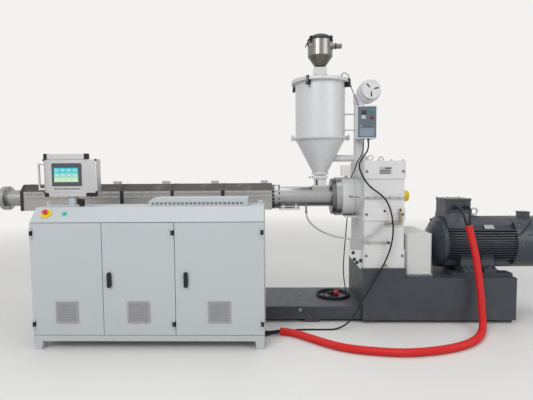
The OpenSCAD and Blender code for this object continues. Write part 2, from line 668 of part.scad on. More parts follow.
// Blower on top of the heater: a drum with a round intake towards the front
module dryer_blower() color(WHITE_PAINT) {
    y_rod(-70, 70, 118, blower_x, blower_z);
    y_rod(-150, -69, 95, blower_x, blower_z);
    box(heater_x - heater_r, blower_x, -42, 42, blower_z - 120, blower_z - 30);
}

// Dryer's control box with its face panel
module dryer_control_box() color(WHITE_PAINT) {
    x0 = heater_x - 65;
    box(x0, x0 + 204, -220, -70, 1886, 2222);
    box(x0 + 8, x0 + 196, -224, -219, 1896, 2212);
    for (p = [DRYER_LEAD[0], CONTROL_CABLE[0]]) z_rod(p[2], 1887, 12, p[0], p[1]);
}

// Small box over the bearing housing, on its leg
module junction_box() color(WHITE_PAINT) {
    box(ring_right + 7, ring_right + 107, -60, 20, 1501, 1615);
    difference() {
        box(ring_right + 40, ring_right + 80, -40, 0, axis_z + bearing_d / 2 - 8, 1502);
        x_rod(ring_right, gearbox_left, bearing_d / 2 + seat, 0, axis_z);
    }
}

// Cabinet base: a rail round the floor plate, on tapered feet
module cabinet_base() color(CABINET_GREY) {
    difference() {
        box(cab_left, cab_right, cab_front_y + 2, cab_back_y, foot_h, base_top);
        box(cab_left + sheet, cab_right - sheet, cab_front_y + 2 + sheet, cab_back_y - sheet, foot_h - eps, base_top - sheet);
    }
    for (x = [cab_left, cab_right - 80], y = [cab_front_y + 2, cab_back_y - 80]) {
        y_extruded(y, y + 80) polygon([[x + 10, 0], [x + 70, 0], [x + 80, foot_h], [x, foot_h]]);
        box(x + sheet, x + 80 - sheet, y + sheet, y + 80 - sheet, foot_h - eps, base_top - 1);
    }
    for (route = [TAIL_1, TAIL_2, CONTROL_CABLE])
        let (end = route[len(route) - 1]) z_rod(foot_h, base_top - 1, 20, end[0], end[1]);
}

// Side panels, up to the underside of the sloping top
module cabinet_sides() color(CABINET_GREY)
    for (x = [cab_left, cab_right - sheet]) x_extruded(x, x + sheet)
        polygon([[carcass_y, base_top], [cab_back_y - sheet, base_top], [cab_back_y - sheet, cab_top - sheet],
            [cab_front_y + 4 + slope_back, cab_top - sheet], [cab_front_y + 7, slope_bottom], [carcass_y, slope_bottom]]);

// Back panel
module cabinet_back() color(CABINET_GREY)
    box(cab_left, cab_right, cab_back_y - sheet, cab_back_y, base_top, cab_top - sheet);

// Sloping front panel and flat top in one folded sheet, with the flange behind its lower edge
module cabinet_top() color(CABINET_GREY) {
    y0 = cab_front_y + 2;
    x_extruded(cab_left, cab_right) {
        polygon([[y0, slope_bottom], [y0 + slope_back, cab_top], [cab_back_y, cab_top], [cab_back_y, cab_top - sheet],
            [y0 + slope_back + 1.3, cab_top - sheet], [y0 + 4.2, slope_bottom]]);
    }
    box(cab_left + sheet, cab_right - sheet, y0 + 2, carcass_y + 40, slope_bottom, slope_bottom + sheet);
}

// Posts behind the doors' edges
module cabinet_posts() color(CABINET_GREY)
    for (x = [cab_left + sheet + 20, split_1, split_2, cab_right - sheet - 20])
        box(x - 20, x + 20, carcass_y, carcass_y + 40, base_top, slope_bottom);

// Galvanised plate that carries the electrical gear
module mounting_plate() color(STEEL)
    box(cab_left + 60, cab_right - 60, cab_back_y - sheet - 25, cab_back_y - sheet, base_top + 60, cab_top - 120);

// One fixed hinge block with its pin, in the notch of a door's edge
module hinge_block(x, z) {
    box(x - 9, x + 9, hinge_y - 9, carcass_y, z - hinge_block_h / 2, z + hinge_block_h / 2);
    z_rod(z - hinge_block_h / 2 - 24, z + hinge_block_h / 2 + 24, hinge_pin_r, x, hinge_y);
}

// Fixed halves of the six hinges
module hinge_pins() color(BLACK)
    for (x = [hinge_left_x, hinge_middle_x, hinge_right_x], z = hinge_z) hinge_block(x, z);

// A door: a folded sheet with a cut-out for its vent and notches for its hinges
module door(x0, x1, hinge_x, vent_x) difference() {
    box(x0, x1, cab_front_y, cab_front_y + door_t, door_z0, door_z1);
    box(x0 + sheet, x1 - sheet, cab_front_y + sheet, cab_front_y + door_t + eps, door_z0 + sheet, door_z1 - sheet);
    box(vent_x - vent_w / 2 + 8, vent_x + vent_w / 2 - 8, cab_front_y - eps, cab_front_y + sheet + eps,
        vent_z - vent_h / 2 + 8, vent_z + vent_h / 2 - 8);
    for (z = hinge_z) box(hinge_x - 15, hinge_x + 15, cab_front_y - eps, cab_front_y + door_t + eps,
        z - hinge_block_h / 2 - 2, z + hinge_block_h / 2 + 2);
}

// What a door carries: hinge knuckles, the vent's grille and, where it has one, its lock
module door_fittings(hinge_x, vent_x, lock_x) {
    for (z = hinge_z, side = [-1, 1]) let (z0 = z + side * (hinge_block_h / 2 + 13)) difference() {
        box(hinge_x - 11, hinge_x + 11, hinge_y - 9, cab_front_y, z0 - 11, z0 + 11);
        z_rod(z0 - 12, z0 + 12, hinge_pin_r + pin_clearance, hinge_x, hinge_y);
    }
    difference() {
        box(vent_x - vent_w / 2, vent_x + vent_w / 2, cab_front_y - 8, cab_front_y, vent_z - vent_h / 2, vent_z + vent_h / 2);
        for (k = [0 : 10]) let (z = vent_z - 75 + k * 15)
            box(vent_x - 82, vent_x + 82, cab_front_y - 9, cab_front_y - 3, z - 4, z + 4);
    }
    if (lock_x != undef) {
        y_extruded(cab_front_y - lock_depth, cab_front_y) round_rect(lock_x - 17, lock_x + 17, 555, 687, 14);
        y_rod(cab_front_y + sheet, cab_front_y + 26, 12, lock_x, 640);
    }
}

module door_left() color(CABINET_GREY) door(cab_left, split_1 - door_gap / 2, hinge_left_x, vent_left_x);
module door_middle() color(CABINET_GREY) door(split_1 + door_gap / 2, split_2 - door_gap / 2, hinge_middle_x, vent_middle_x);
module door_right() color(CABINET_GREY) door(split_2 + door_gap / 2, cab_right, hinge_right_x, vent_right_x);
module door_left_fittings() color(BLACK) door_fittings(hinge_left_x, vent_left_x);
module door_middle_fittings() color(BLACK) door_fittings(hinge_middle_x, vent_middle_x, lock_middle_x);
module door_right_fittings() color(BLACK) door_fittings(hinge_right_x, vent_right_x, lock_right_x);

// Ventilated cover on top of the cabinet
module top_vent_cover() color(CABINET_GREY) difference() {
    y_extruded(top_vent_front, cab_back_y - 70)
        polygon([[top_vent_left, cab_top], [top_vent_right, cab_top], [top_vent_right, cab_top + top_vent_h],
            [top_vent_left + 50, cab_top + top_vent_h], [top_vent_left, cab_top + 0.6 * top_vent_h]]);
    for (k = [0 : top_vent_slots - 1]) let (x = top_vent_left + 40 + k * (top_vent_right - top_vent_left - 94) / (top_vent_slots - 1))
        box(x - 12, x + 12, top_vent_front - eps, top_vent_front + 6, cab_top + 14, cab_top + 34);
}

// Puts what follows on the sloping panel, at x and at a height up the slope
module on_slope(x, z) translate([x, cab_front_y + 2 + (z - slope_bottom) * slope_back / (cab_top - slope_bottom), z])
    rotate([slope_angle, 0, 0]) children();

// Emergency stop on its yellow collar, and the green start button
module push_buttons() color("crimson") {
    on_slope(cab_left + 119, 1190) {
        cylinder(r = 46, h = 12);
        cylinder(r = 14, h = 30);
        translate([0, 0, 28]) cylinder(r1 = 20, r2 = 25, h = 8);
        translate([0, 0, 36]) cylinder(r1 = 25, r2 = 16, h = 8);
    }
    on_slope(cab_left + 281, 1190) {
        cylinder(r = 20, h = 6);
        cylinder(r = 15, h = 14);
    }
}

// Post that carries the pod, with the spigot it turns on
module operator_post() color(CABINET_GREY) {
    box(pod_x - 75, pod_x + 75, pod_y - 60, pod_y + 60, cab_top, cab_top + 12);
    z_rod(cab_top + 11, post_top, post_r, pod_x, pod_y);
    z_rod(post_top - eps, post_top + 36, spigot_r, pod_x, pod_y);
}

// Pod: an aluminium profile housing on a collar that turns on the post
module operator_pod() color([0.8, 0.81, 0.82]) difference() {
    union() {
        translate([0, 0, pod_bottom]) linear_extrude(pod_h)
            round_rect(pod_x - pod_w / 2, pod_x + pod_w / 2, pod_y - pod_depth / 2, pod_y + pod_depth / 2, 24);
        z_rod(post_top + seat, pod_bottom + eps, post_r, pod_x, pod_y);
    }
    z_rod(post_top - eps, post_top + 37, spigot_r + pin_clearance, pod_x, pod_y);
}

// Operator panel: a bezel with a sunk screen
module pod_screen() color([0.16, 0.2, 0.25]) difference() {
    y_extruded(pod_face_y - 5, pod_face_y) round_rect(pod_x - 164, pod_x + 107, pod_bottom + 60, pod_bottom + 268, 8);
    box(pod_x - 143, pod_x + 77, pod_face_y - 6, pod_face_y - 3.5, pod_bottom + 98, pod_bottom + 226);
}

// Handle bars over, under and beside the pod, on black corner pieces
module pod_handles() color(CABINET_GREY) {
    left = pod_x - pod_w / 2;
    bar_y = pod_y - post_r - 12;
    for (z = [pod_bottom + 32, pod_bottom + pod_h - 40]) x_rod(left - 75, left, 10, pod_y, z);
    z_rod(pod_bottom + 22, pod_bottom + pod_h - 30, 10, left - 68, pod_y);
    box(pod_x - 202, pod_x + 140, bar_y - 8, bar_y + 10, pod_bottom + pod_h + 1, pod_bottom + pod_h + 47);
    for (x = [pod_x - 231, pod_x + 139])
        box(x, x + 30, bar_y - 11, bar_y + 34, pod_bottom + pod_h, pod_bottom + pod_h + 50);
    box(pod_x - 194, pod_x + 151, bar_y - 8, bar_y + 10, pod_bottom - 33, pod_bottom);
    box(pod_x - 231, pod_x - 193, bar_y - 11, bar_y + 34, pod_bottom - 36, pod_bottom);
    box(pod_x + 150, pod_x + 238, bar_y - 11, bar_y + 34, pod_bottom - 36, pod_bottom);
}

// Red corrugated conduit from the motor to the cabinet, lying on the floor
module conduit() color("crimson") cord(CONDUIT, conduit_r, 12);

// Two supply cables from the terminal box into the conduit's mouth
module motor_cables() color(BLACK) {
    cord(MOTOR_CABLE_1, motor_cable_r);
    cord(MOTOR_CABLE_2, motor_cable_r);
}

// The same cables from the conduit's end up into the cabinet's floor
module conduit_tails() color(BLACK) {
    cord(TAIL_1, tail_r);
    cord(TAIL_2, tail_r);
}

// Dryer's supply lead, hanging behind the bearing housing down to its coil
module dryer_lead() color(BLACK) cord(DRYER_LEAD, lead_r);

// Outer shape of the coil that lies on the bed
module dryer_lead_coil() color(BLACK) translate([COIL_AT[0], COIL_AT[1], bed_top]) rotate_extrude()
    polygon([[coil_turn_r - 22, 0], [coil_turn_r + 22, 0], [coil_turn_r + 22, 22], [coil_turn_r - 22, 22]]);

// Plug at the end of the dryer's lead, inside its coil
module dryer_plug() color("crimson") {
    x_rod(COIL_AT[0] - 60, COIL_AT[0] + 10, 26, COIL_AT[1], bed_top + 30);
    x_rod(COIL_AT[0] + 9, COIL_AT[0] + 60, 30, COIL_AT[1], bed_top + 30);
}

// Control cable down the front of the gearbox and along the floor to the cabinet
module control_cable() color(BLACK) cord(CONTROL_CABLE, control_r);

// Water hose between the feed section and the oil cooler's fitting
module water_hose() color([0.85, 0.86, 0.84]) cord(WATER_HOSE, hose_r);

// Sensor cable from the hopper's lid to the dryer's control box
module sensor_cable() color(BLACK) cord(SENSOR_CABLE, sensor_r);

module placed() translate([-origin_x, -origin_y, 0]) children();

placed() base_frame();
placed() bed_frame();
placed() floor_pads();
placed() barrel();
placed() barrel_heaters();
placed() barrel_covers();
placed() cover_straps();
placed() feed_section();
placed() feed_tray();
placed() ring_flange();
placed() bearing_housing();
placed() gearbox_lower_case();
placed() gearbox_upper_case();
placed() gearbox_cover();
placed() pipes_and_fittings();
placed() shaft_end_cap();
placed() coupling_guard();
placed() lifting_eyes();
placed() motor_housing();
placed() motor_cowl();
placed() motor_terminal_box();
placed() throat_neck();
placed() slide_gate();
placed() hopper_shell();
placed() hopper_lid();
placed() hopper_clamps();
placed() loader_body();
placed() loader_lid();
placed() dryer_heater();
placed() dryer_blower();
placed() dryer_control_box();
placed() junction_box();
placed() cabinet_base();
placed() cabinet_sides();
placed() cabinet_back();
placed() cabinet_top();
placed() cabinet_posts();
placed() mounting_plate();
placed() hinge_pins();
placed() door_left();
placed() door_middle();
placed() door_right();
placed() door_left_fittings();
placed() door_middle_fittings();
placed() door_right_fittings();
placed() top_vent_cover();
placed() push_buttons();
placed() operator_post();
placed() operator_pod();
placed() pod_screen();
placed() pod_handles();
placed() conduit();
placed() motor_cables();
placed() conduit_tails();
placed() dryer_lead();
placed() dryer_lead_coil();
placed() dryer_plug();
placed() control_cable();
placed() water_hose();
placed() sensor_cable();
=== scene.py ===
# %% [markdown]
# # A plastic extruder, dressed in Blender
#
# The machine's solids come from CAD and stand where they belong. What is missing is how they look: paint, steel,
# rounded edges, bolts, louvres, cables that hang as cables do. Each step below says what a piece is on the real
# machine, how it could be made, and why one way was chosen. The first cell loads the solids.

import json
import math

import bmesh
import bpy
import numpy as np
from mathutils import Matrix, Vector

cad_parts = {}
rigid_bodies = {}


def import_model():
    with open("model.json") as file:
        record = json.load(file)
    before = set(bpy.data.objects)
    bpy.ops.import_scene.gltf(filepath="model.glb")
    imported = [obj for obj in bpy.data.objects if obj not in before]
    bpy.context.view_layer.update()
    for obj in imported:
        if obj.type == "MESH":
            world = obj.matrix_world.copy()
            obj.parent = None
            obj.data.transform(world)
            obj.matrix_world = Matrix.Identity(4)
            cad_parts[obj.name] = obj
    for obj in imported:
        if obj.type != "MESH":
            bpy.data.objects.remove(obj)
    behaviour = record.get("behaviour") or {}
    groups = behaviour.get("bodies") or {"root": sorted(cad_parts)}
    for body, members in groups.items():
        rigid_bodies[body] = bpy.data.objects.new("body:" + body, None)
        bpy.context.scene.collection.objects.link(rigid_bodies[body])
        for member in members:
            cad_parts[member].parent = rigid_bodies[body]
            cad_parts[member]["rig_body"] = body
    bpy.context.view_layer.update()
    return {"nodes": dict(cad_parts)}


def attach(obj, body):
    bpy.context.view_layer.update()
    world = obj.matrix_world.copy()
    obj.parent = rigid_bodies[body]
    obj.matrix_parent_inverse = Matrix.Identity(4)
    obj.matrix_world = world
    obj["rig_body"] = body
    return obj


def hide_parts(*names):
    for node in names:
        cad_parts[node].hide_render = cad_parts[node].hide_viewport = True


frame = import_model()

# %% [markdown]
# ## One way to write a place
#
# The drawing measures in millimetres: x from the bolted joint behind the barrel, y from the screw's axis, z from the
# floor. Blender works in metres from the middle of the machine's plan. Every number below is the drawing's, so that it
# can be read off a ruler, and one function turns it into Blender's.

# %% Places in the drawing
AXIS_Z, HOPPER_X, MOTOR_Z = 1280.0, 490.0, 780.0
PLAN_CENTRE = np.array([-25.0, -327.5, 0.0])


def placed(points):
    """Millimetres of the drawing as metres from the plan's centre: subtract the centre, divide by 1000."""
    return (np.asarray(points, float) - PLAN_CENTRE) / 1000.0


# %% [markdown]
# ## The camera
#
# The photographer stood a little left of the hopper, 4.6 metres from the screw, and held the camera at eye height with
# a slight downward tilt. A camera could be aimed with a Track To constraint. Writing its three axes from pan, tilt and
# roll is as short, and each angle can be set against the photograph's own lines: the door edges give the tilt and
# roll, the floor lines the pan.

# %% Set the camera
FOCAL_PIXELS, PICTURE_WIDTH, SENSOR_WIDTH = 417.0, 533.0, 36.0
EYE, PAN_TILT_ROLL = [0.0, -4570.0, 1530.0], [1.2, 3.6, 0.41]


def camera_axes(pan, tilt, roll):
    """Right, up and forward of a camera that looks along +Y, turned left by pan, down by tilt, then rolled."""
    forward = np.array([-math.sin(pan), math.cos(pan), 0.0])
    right = np.array([math.cos(pan), math.sin(pan), 0.0])
    up = np.array([0.0, 0.0, 1.0])
    forward, up = forward * math.cos(tilt) - up * math.sin(tilt), up * math.cos(tilt) + forward * math.sin(tilt)
    right, up = right * math.cos(roll) - up * math.sin(roll), up * math.cos(roll) + right * math.sin(roll)
    return right, up, forward


right, up, forward = camera_axes(*np.radians(PAN_TILT_ROLL))
camera = bpy.data.objects.new("camera", bpy.data.cameras.new("camera"))
bpy.context.scene.collection.objects.link(camera)
turn = np.eye(4)
turn[:3, 0], turn[:3, 1], turn[:3, 2] = right, up, -forward
turn[:3, 3] = placed(EYE)
camera.matrix_world = Matrix(turn.tolist())
camera.data.sensor_width = SENSOR_WIDTH
camera.data.lens = SENSOR_WIDTH * FOCAL_PIXELS / PICTURE_WIDTH
bpy.context.scene.camera = camera
print("lens", round(camera.data.lens, 2), "mm")

# %% [markdown]
# ## Surfaces from numbers
#
# Most pieces of a machine are made by a few motions: a profile is turned on a lathe, pushed through a die or carried
# along a path. Each can be written as points on a grid, one row for each step of the motion. A small class keeps the
# points with their four-sided and three-sided faces, so that shapes can be joined and repeated before they become one
# mesh. Blender's own primitives would do the same one at a time, but slower and with less control.

# %% The shape class
class Shape:
    """Points in millimetres of the drawing, with the quads and triangles between them."""

    def __init__(self, points, quads=(), tris=()):
        self.points = np.asarray(points, float).reshape(-1, 3)
        self.quads = np.asarray(quads, int).reshape(-1, 4)
        self.tris = np.asarray(tris, int).reshape(-1, 3)


def joined(*shapes):
    """Several shapes as one: each shape's face numbers go up by the count of points before it."""
    starts = np.cumsum([0] + [len(s.points) for s in shapes[:-1]])
    return Shape(
        np.concatenate([s.points for s in shapes]),
        np.concatenate([s.quads + n for s, n in zip(shapes, starts)]),
        np.concatenate([s.tris + n for s, n in zip(shapes, starts)]),
    )


def grid_quads(rows, columns, close_rows=False, close_columns=False):
    """Quads of a grid numbered row by row: each joins a point, the next in its row and the two in the row above."""
    r = np.arange(rows if close_rows else rows - 1)[:, None]
    c = np.arange(columns if close_columns else columns - 1)[None, :]
    above, beside = (r + 1) % rows, (c + 1) % columns
    corners = [r * columns + c, r * columns + beside, above * columns + beside, above * columns + c]
    return np.stack(np.broadcast_arrays(*corners), -1).reshape(-1, 4)


def capped(rings):
    """A closed skin over rings of points: quads between the rings, and a fan from the middle of each end ring."""
    rows, sides = rings.shape[:2]
    points = np.concatenate([rings.reshape(-1, 3), rings[:1].mean(1), rings[-1:].mean(1)])
    k = np.arange(sides)
    first = np.stack([np.full(sides, rows * sides), (k + 1) % sides, k], 1)
    last = np.stack([np.full(sides, rows * sides + 1), k, (k + 1) % sides], 1)
    last[:, 1:] += (rows - 1) * sides
    return Shape(points, grid_quads(rows, sides, close_columns=True), np.concatenate([first, last]))


# %% [markdown]
# A lathe turns a profile round an axis. A helper gives two directions across any axis, and then each point of the
# profile becomes a ring of its own radius.

# %% Turned and extruded shapes
def across(axis):
    """Axes made one unit long, and two unit directions at right angles to each: a row for each axis in each array."""
    axis = np.atleast_2d(np.asarray(axis, float))
    axis = axis / np.linalg.norm(axis, axis=1, keepdims=True)
    helper = np.where(np.abs(axis[:, 2:]) > 0.9, [[1.0, 0.0, 0.0]], [[0.0, 0.0, 1.0]])
    u = np.cross(helper, axis)
    u /= np.linalg.norm(u, axis=1, keepdims=True)
    return axis, u, np.cross(axis, u)


def turned(profile, at=(0, 0, 0), axis=(1, 0, 0), sides=48, ring=False):
    """A profile of (distance along the axis, radius) pairs turned round it. A ring's profile closes on itself."""
    w, u, v = across(axis)
    profile = np.asarray(profile, float)
    angle = np.linspace(0, 2 * math.pi, sides, endpoint=False)
    circle = np.cos(angle)[:, None] * u + np.sin(angle)[:, None] * v
    rings = np.asarray(at, float) + profile[:, None, :1] * w + profile[:, None, 1:] * circle
    if ring:
        return Shape(rings.reshape(-1, 3), grid_quads(len(profile), sides, True, True))
    return capped(rings)


def slab(low, high):
    """A block between two corners, as a square ring at its bottom and one at its top."""
    (x0, y0, z0), (x1, y1, z1) = low, high
    square = np.array([[x0, y0], [x1, y0], [x1, y1], [x0, y1]], float)
    return capped(np.stack([np.column_stack([square, np.full(4, z)]) for z in (z0, z1)]))


def pushed(outline, start, end):
    """An outline of points in space pushed along a straight line from start to end."""
    outline = np.asarray(outline, float)
    return capped(np.stack([outline + np.asarray(start, float), outline + np.asarray(end, float)]))


def repeated(shape, places, axes=(0, 0, 1)):
    """Copies of a shape drawn round Z: its X, Y and Z become the directions across and along each axis."""
    places = np.atleast_2d(np.asarray(places, float))
    w, u, v = (np.broadcast_to(d, places.shape) for d in across(axes))
    x, y, z = (shape.points[None, :, k, None] for k in range(3))
    points = places[:, None] + x * u[:, None] + y * v[:, None] + z * w[:, None]
    steps = (np.arange(len(places)) * len(shape.points))[:, None, None]
    return Shape(points, shape.quads[None] + steps, shape.tris[None] + steps)


def round_places(count, radius, x, start=0.0, axis=(0.0, AXIS_Z)):
    """Places on a circle round an axis along X with this y and z, at an even angle from each other."""
    angle = np.radians(start) + np.arange(count) * 2 * math.pi / count
    y, z = axis[0] + radius * np.cos(angle), axis[1] + radius * np.sin(angle)
    return np.column_stack([np.full(count, float(x)), y, z])


def outward(places, axis=(0.0, AXIS_Z)):
    """For each place, the direction away from an axis along X with this y and z."""
    return (places - [0, *axis]) * [0, 1, 1]


# %% [markdown]
# The last step puts a shape into a mesh. Doubled points are merged, the faces are turned outwards, and edges sharper
# than an angle stay crisp while the rest is shaded smooth. Every piece names the moving body that carries it and the
# finish that it takes.

# %% Make a piece
BEVEL_SEGMENTS, SHARP_FOR_BEVEL, SHARP_FOR_LIGHT = 2, math.radians(30), math.radians(35)


def new_piece(name, shape, material, bevel=0.0, body="machine"):
    """A mesh object from a shape. Bevel rounds its sharp edges by that many millimetres."""
    mesh = bpy.data.meshes.new(name)
    mesh.from_pydata(placed(shape.points).tolist(), [], shape.quads.tolist() + shape.tris.tolist())
    clean = bmesh.new()
    clean.from_mesh(mesh)
    bmesh.ops.remove_doubles(clean, verts=clean.verts, dist=1e-6)
    bmesh.ops.recalc_face_normals(clean, faces=clean.faces)
    clean.to_mesh(mesh)
    clean.free()
    return finished(name, mesh, material, bevel, body)


def finished(name, mesh, material, bevel, body):
    """The object round a mesh: smooth shading with crisp edges, its finish, its bevel and the body it rides on."""
    mesh.polygons.foreach_set("use_smooth", np.ones(len(mesh.polygons), bool))
    mesh.set_sharp_from_angle(angle=SHARP_FOR_LIGHT)
    mesh.materials.append(material)
    piece = bpy.data.objects.new(name, mesh)
    bpy.context.scene.collection.objects.link(piece)
    if bevel:
        modifier = piece.modifiers.new("rounded edges", "BEVEL")
        modifier.width, modifier.segments = bevel / 1000.0, BEVEL_SEGMENTS
        modifier.limit_method, modifier.angle_limit = "ANGLE", SHARP_FOR_BEVEL
        modifier.harden_normals = True
    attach(piece, body)
    return piece


# %% [markdown]
# ## Finishes
#
# A finish is a Principled shader with noise behind its colour, roughness and bump. Every pattern reads Object
# coordinates. All objects sit at the origin, so those are metres of the machine: a noise of scale 40 has spots of
# about 25 mm everywhere, and nothing needs unwrapping. A small class writes a node and its links in one line. It also
# serves the sky at the end, so what only a material has stands in a second class.

# %% The finish class
class Nodes:
    """A tree of shader nodes that grows by one node a call."""

    def __init__(self, tree):
        self.tree = tree

    def put(self, kind, inputs=(), output=0, **properties):
        """Adds a node and returns an output. Inputs are (socket, value) pairs, and a value may be another's output."""
        node = self.tree.nodes.new("ShaderNode" + kind)
        for key, value in properties.items():
            setattr(node, key, value)
        for socket, value in inputs:
            if isinstance(value, bpy.types.NodeSocket):
                self.tree.links.new(value, node.inputs[socket])
            else:
                node.inputs[socket].default_value = value
        return node.outputs[output]

    def math(self, operation, a, b=0.0):
        """One sum of two values."""
        return self.put("Math", [(0, a), (1, b)], operation=operation)


class Finish(Nodes):
    """A material being mixed: what put() adds ends in a socket of its Principled shader."""

    def __init__(self, name, colour, roughness, metallic=0.0, **sockets):
        self.material = bpy.data.materials.new(name)
        self.material.use_nodes = True
        super().__init__(self.material.node_tree)
        self.shader = self.tree.nodes["Principled BSDF"]
        self.shader.inputs["Base Color"].default_value = (*colour, 1.0)
        self.shader.inputs["Roughness"].default_value = roughness
        self.shader.inputs["Metallic"].default_value = metallic
        for socket, value in sockets.items():
            self.shader.inputs[socket.replace("_", " ")].default_value = value
        self.place = self.put("TexCoord", output="Object")

    def stretched(self, scale):
        """The place with each axis multiplied by its own scale."""
        return self.put("Mapping", [("Vector", self.place), ("Scale", scale)])

    def noise(self, scale, detail, place=None):
        """Noise between 0 and 1, with spots of about 1 / scale metres."""
        place = place or self.place
        return self.put("TexNoise", [("Vector", place), ("Scale", scale), ("Detail", detail), ("Roughness", 0.55)])

    def between(self, value, low, high, start=0.0, end=1.0):
        """A value's range from start to end spread over low to high."""
        limits = [("From Min", start), ("From Max", end), ("To Min", low), ("To Max", high)]
        return self.put("MapRange", [("Value", value)] + limits)

    def blend(self, share, first, second):
        """A colour between two, by a share from 0 to 1."""
        return self.put("Mix", [("Factor", share), (6, first), (7, second)], output=2, data_type="RGBA")

    def axis(self, letter):
        """One coordinate of the place."""
        return self.put("SeparateXYZ", [("Vector", self.place)], output=letter)

    def feed(self, socket, value):
        """Links a value to a socket of the shader."""
        self.tree.links.new(value, self.shader.inputs[socket])

    def colour(self, value):
        """The colour, from a pattern."""
        self.feed("Base Color", value)

    def rough(self, value):
        """The gloss, from a pattern: 0 is a mirror."""
        self.feed("Roughness", value)

    def bump(self, height, strength, distance):
        """Raised and sunk places, this many metres deep."""
        self.feed("Normal", self.put("Bump", [("Height", height), ("Strength", strength), ("Distance", distance)]))


def rgba(colour, times=1.0):
    """A colour with its alpha, made lighter or darker by a factor."""
    return tuple(min(1.0, c * times) for c in colour) + (1.0,)


# %% [markdown]
# ### Paint
#
# Machine paint is sprayed: it has a fine orange peel, its gloss changes over a hand's width, and near the floor dust
# and shoe marks dull it. The cabinet's powder coat is the same idea with a coarser grain. One function with a few
# numbers makes every painted finish, so they look like one factory's work.

# %% Painted finishes
def paint(name, colour, roughness, grain=900.0, grain_depth=0.12, dust=0.0, mottle=0.06):
    """Sprayed paint: cloudy colour, uneven gloss, a fine grain, and dust that fades out 0.6 m above the floor."""
    f = Finish(name, colour, roughness)
    clouds = f.noise(2.2, 3.0)
    tone = f.blend(clouds, rgba(colour, 1 - mottle), rgba(colour, 1 + mottle))
    speck = f.between(f.noise(160.0, 2.0), 0.0, 0.5 * mottle, 0.62, 0.75)
    tone = f.blend(speck, tone, rgba(colour, 0.55))
    if dust:
        low = f.between(f.axis("Z"), dust, 0.0, 0.0, 0.6)
        low = f.math("MULTIPLY", low, f.between(f.noise(9.0, 6.0), 0.25, 1.3, 0.3, 0.7))
        tone = f.blend(low, tone, (0.36, 0.33, 0.29, 1.0))
    f.colour(tone)
    f.rough(f.between(f.noise(14.0, 5.0), roughness - 0.07, roughness + 0.1, 0.3, 0.7))
    f.bump(f.noise(grain, 2.0), grain_depth, 0.0004)
    return f.material


white_paint = paint("white machine paint", (0.64, 0.645, 0.64), 0.38, dust=0.15)
hopper_paint = paint("hopper paint", (0.63, 0.635, 0.645), 0.3, grain=500.0, mottle=0.03)
cabinet_paint = paint("cabinet powder coat", (0.48, 0.515, 0.53), 0.46, grain=1400.0, grain_depth=0.3, dust=0.18,
                      mottle=0.02)
# The junction box's paint is lighter than the white machine paint: painted light that offsets the shade it stands in.
box_paint_lightened = paint("junction box paint lightened against shade", (0.84, 0.82, 0.79), 0.4, mottle=0.03)
guard_paint = paint("guard powder coat", (0.57, 0.57, 0.565), 0.45, grain=1400.0, grain_depth=0.3, mottle=0.03)
slate_paint = paint("slate frame paint", (0.030, 0.038, 0.050), 0.46, dust=0.06)
motor_paint = paint("motor paint", (0.030, 0.038, 0.052), 0.38, grain=600.0, grain_depth=0.25, dust=0.3, mottle=0.15)
black_paint = paint("black enamel", (0.012, 0.012, 0.014), 0.4, mottle=0.3)
dull_sheet = paint("dull cover sheet", (0.36, 0.35, 0.33), 0.6, mottle=0.1)

# %% [markdown]
# ### Bare metal
#
# Turned steel carries the lathe's rings, so its fine pattern changes only along the screw. Polished and rolled sheet
# shows long streaks. Both come from one noise that is stretched: high across the marks, low along them.

# %% Metal finishes
def metal(name, colour, roughness, stretch=(1, 1, 1), scale=300.0, marks=0.1, stain=0.12):
    """Worked metal: marks from a stretched noise in gloss and bump, and faint stains in its colour."""
    f = Finish(name, colour, roughness, metallic=1.0)
    f.colour(f.blend(f.noise(6.0, 5.0), rgba(colour, 1 - stain), rgba(colour, 1 + stain)))
    lines = f.noise(scale, 3.0, f.stretched(stretch))
    f.rough(f.between(lines, roughness - marks, roughness + marks, 0.3, 0.7))
    f.bump(lines, 0.12, 0.0003)
    return f.material


turned_steel = metal("turned steel", (0.36, 0.36, 0.355), 0.34, stretch=(3.0, 0.15, 0.15))
feed_steel = metal("polished feed section", (0.37, 0.375, 0.38), 0.3, stretch=(3.0, 0.1, 0.1), marks=0.06, stain=0.04)
dark_steel = metal("dark turned flange", (0.16, 0.165, 0.17), 0.38, stretch=(2.0, 0.2, 0.2))
cast_steel = metal("cast pad", (0.10, 0.10, 0.105), 0.6, scale=80.0)
zinc = metal("zinc plated fasteners", (0.42, 0.42, 0.41), 0.34, scale=500.0)
black_oxide = metal("black oxide screws", (0.06, 0.06, 0.065), 0.42, scale=500.0)
polished = metal("polished stainless", (0.235, 0.225, 0.215), 0.3, stretch=(1.0, 1.0, 0.02), scale=70.0)
# The cone's steel is darker and browner than the cylinder's: a painted reflection of the dark floor below it.
cone_steel_dark_reflection = metal("stainless cone with painted reflection", (0.17, 0.155, 0.13), 0.3, stretch=(1.0, 1.0, 0.1), scale=60.0, marks=0.05)
brass = metal("brass", (0.38, 0.30, 0.16), 0.36, scale=400.0)
dull_fitting = metal("dull fittings", (0.30, 0.285, 0.25), 0.4)
aluminium = metal("heater band aluminium", (0.55, 0.55, 0.53), 0.45, scale=120.0)
pod_metal = metal("anodised aluminium", (0.52, 0.525, 0.53), 0.38, stretch=(0.1, 1.0, 4.0), marks=0.06, stain=0.03)
galvanised = metal("galvanised plate", (0.50, 0.52, 0.53), 0.45, scale=60.0)

# %% [markdown]
# ### Plastic and rubber
#
# Cable jackets and moulded plastic have a soft gloss, with a matt grain and finger marks. Only the colour and the gloss
# differ from piece to piece.

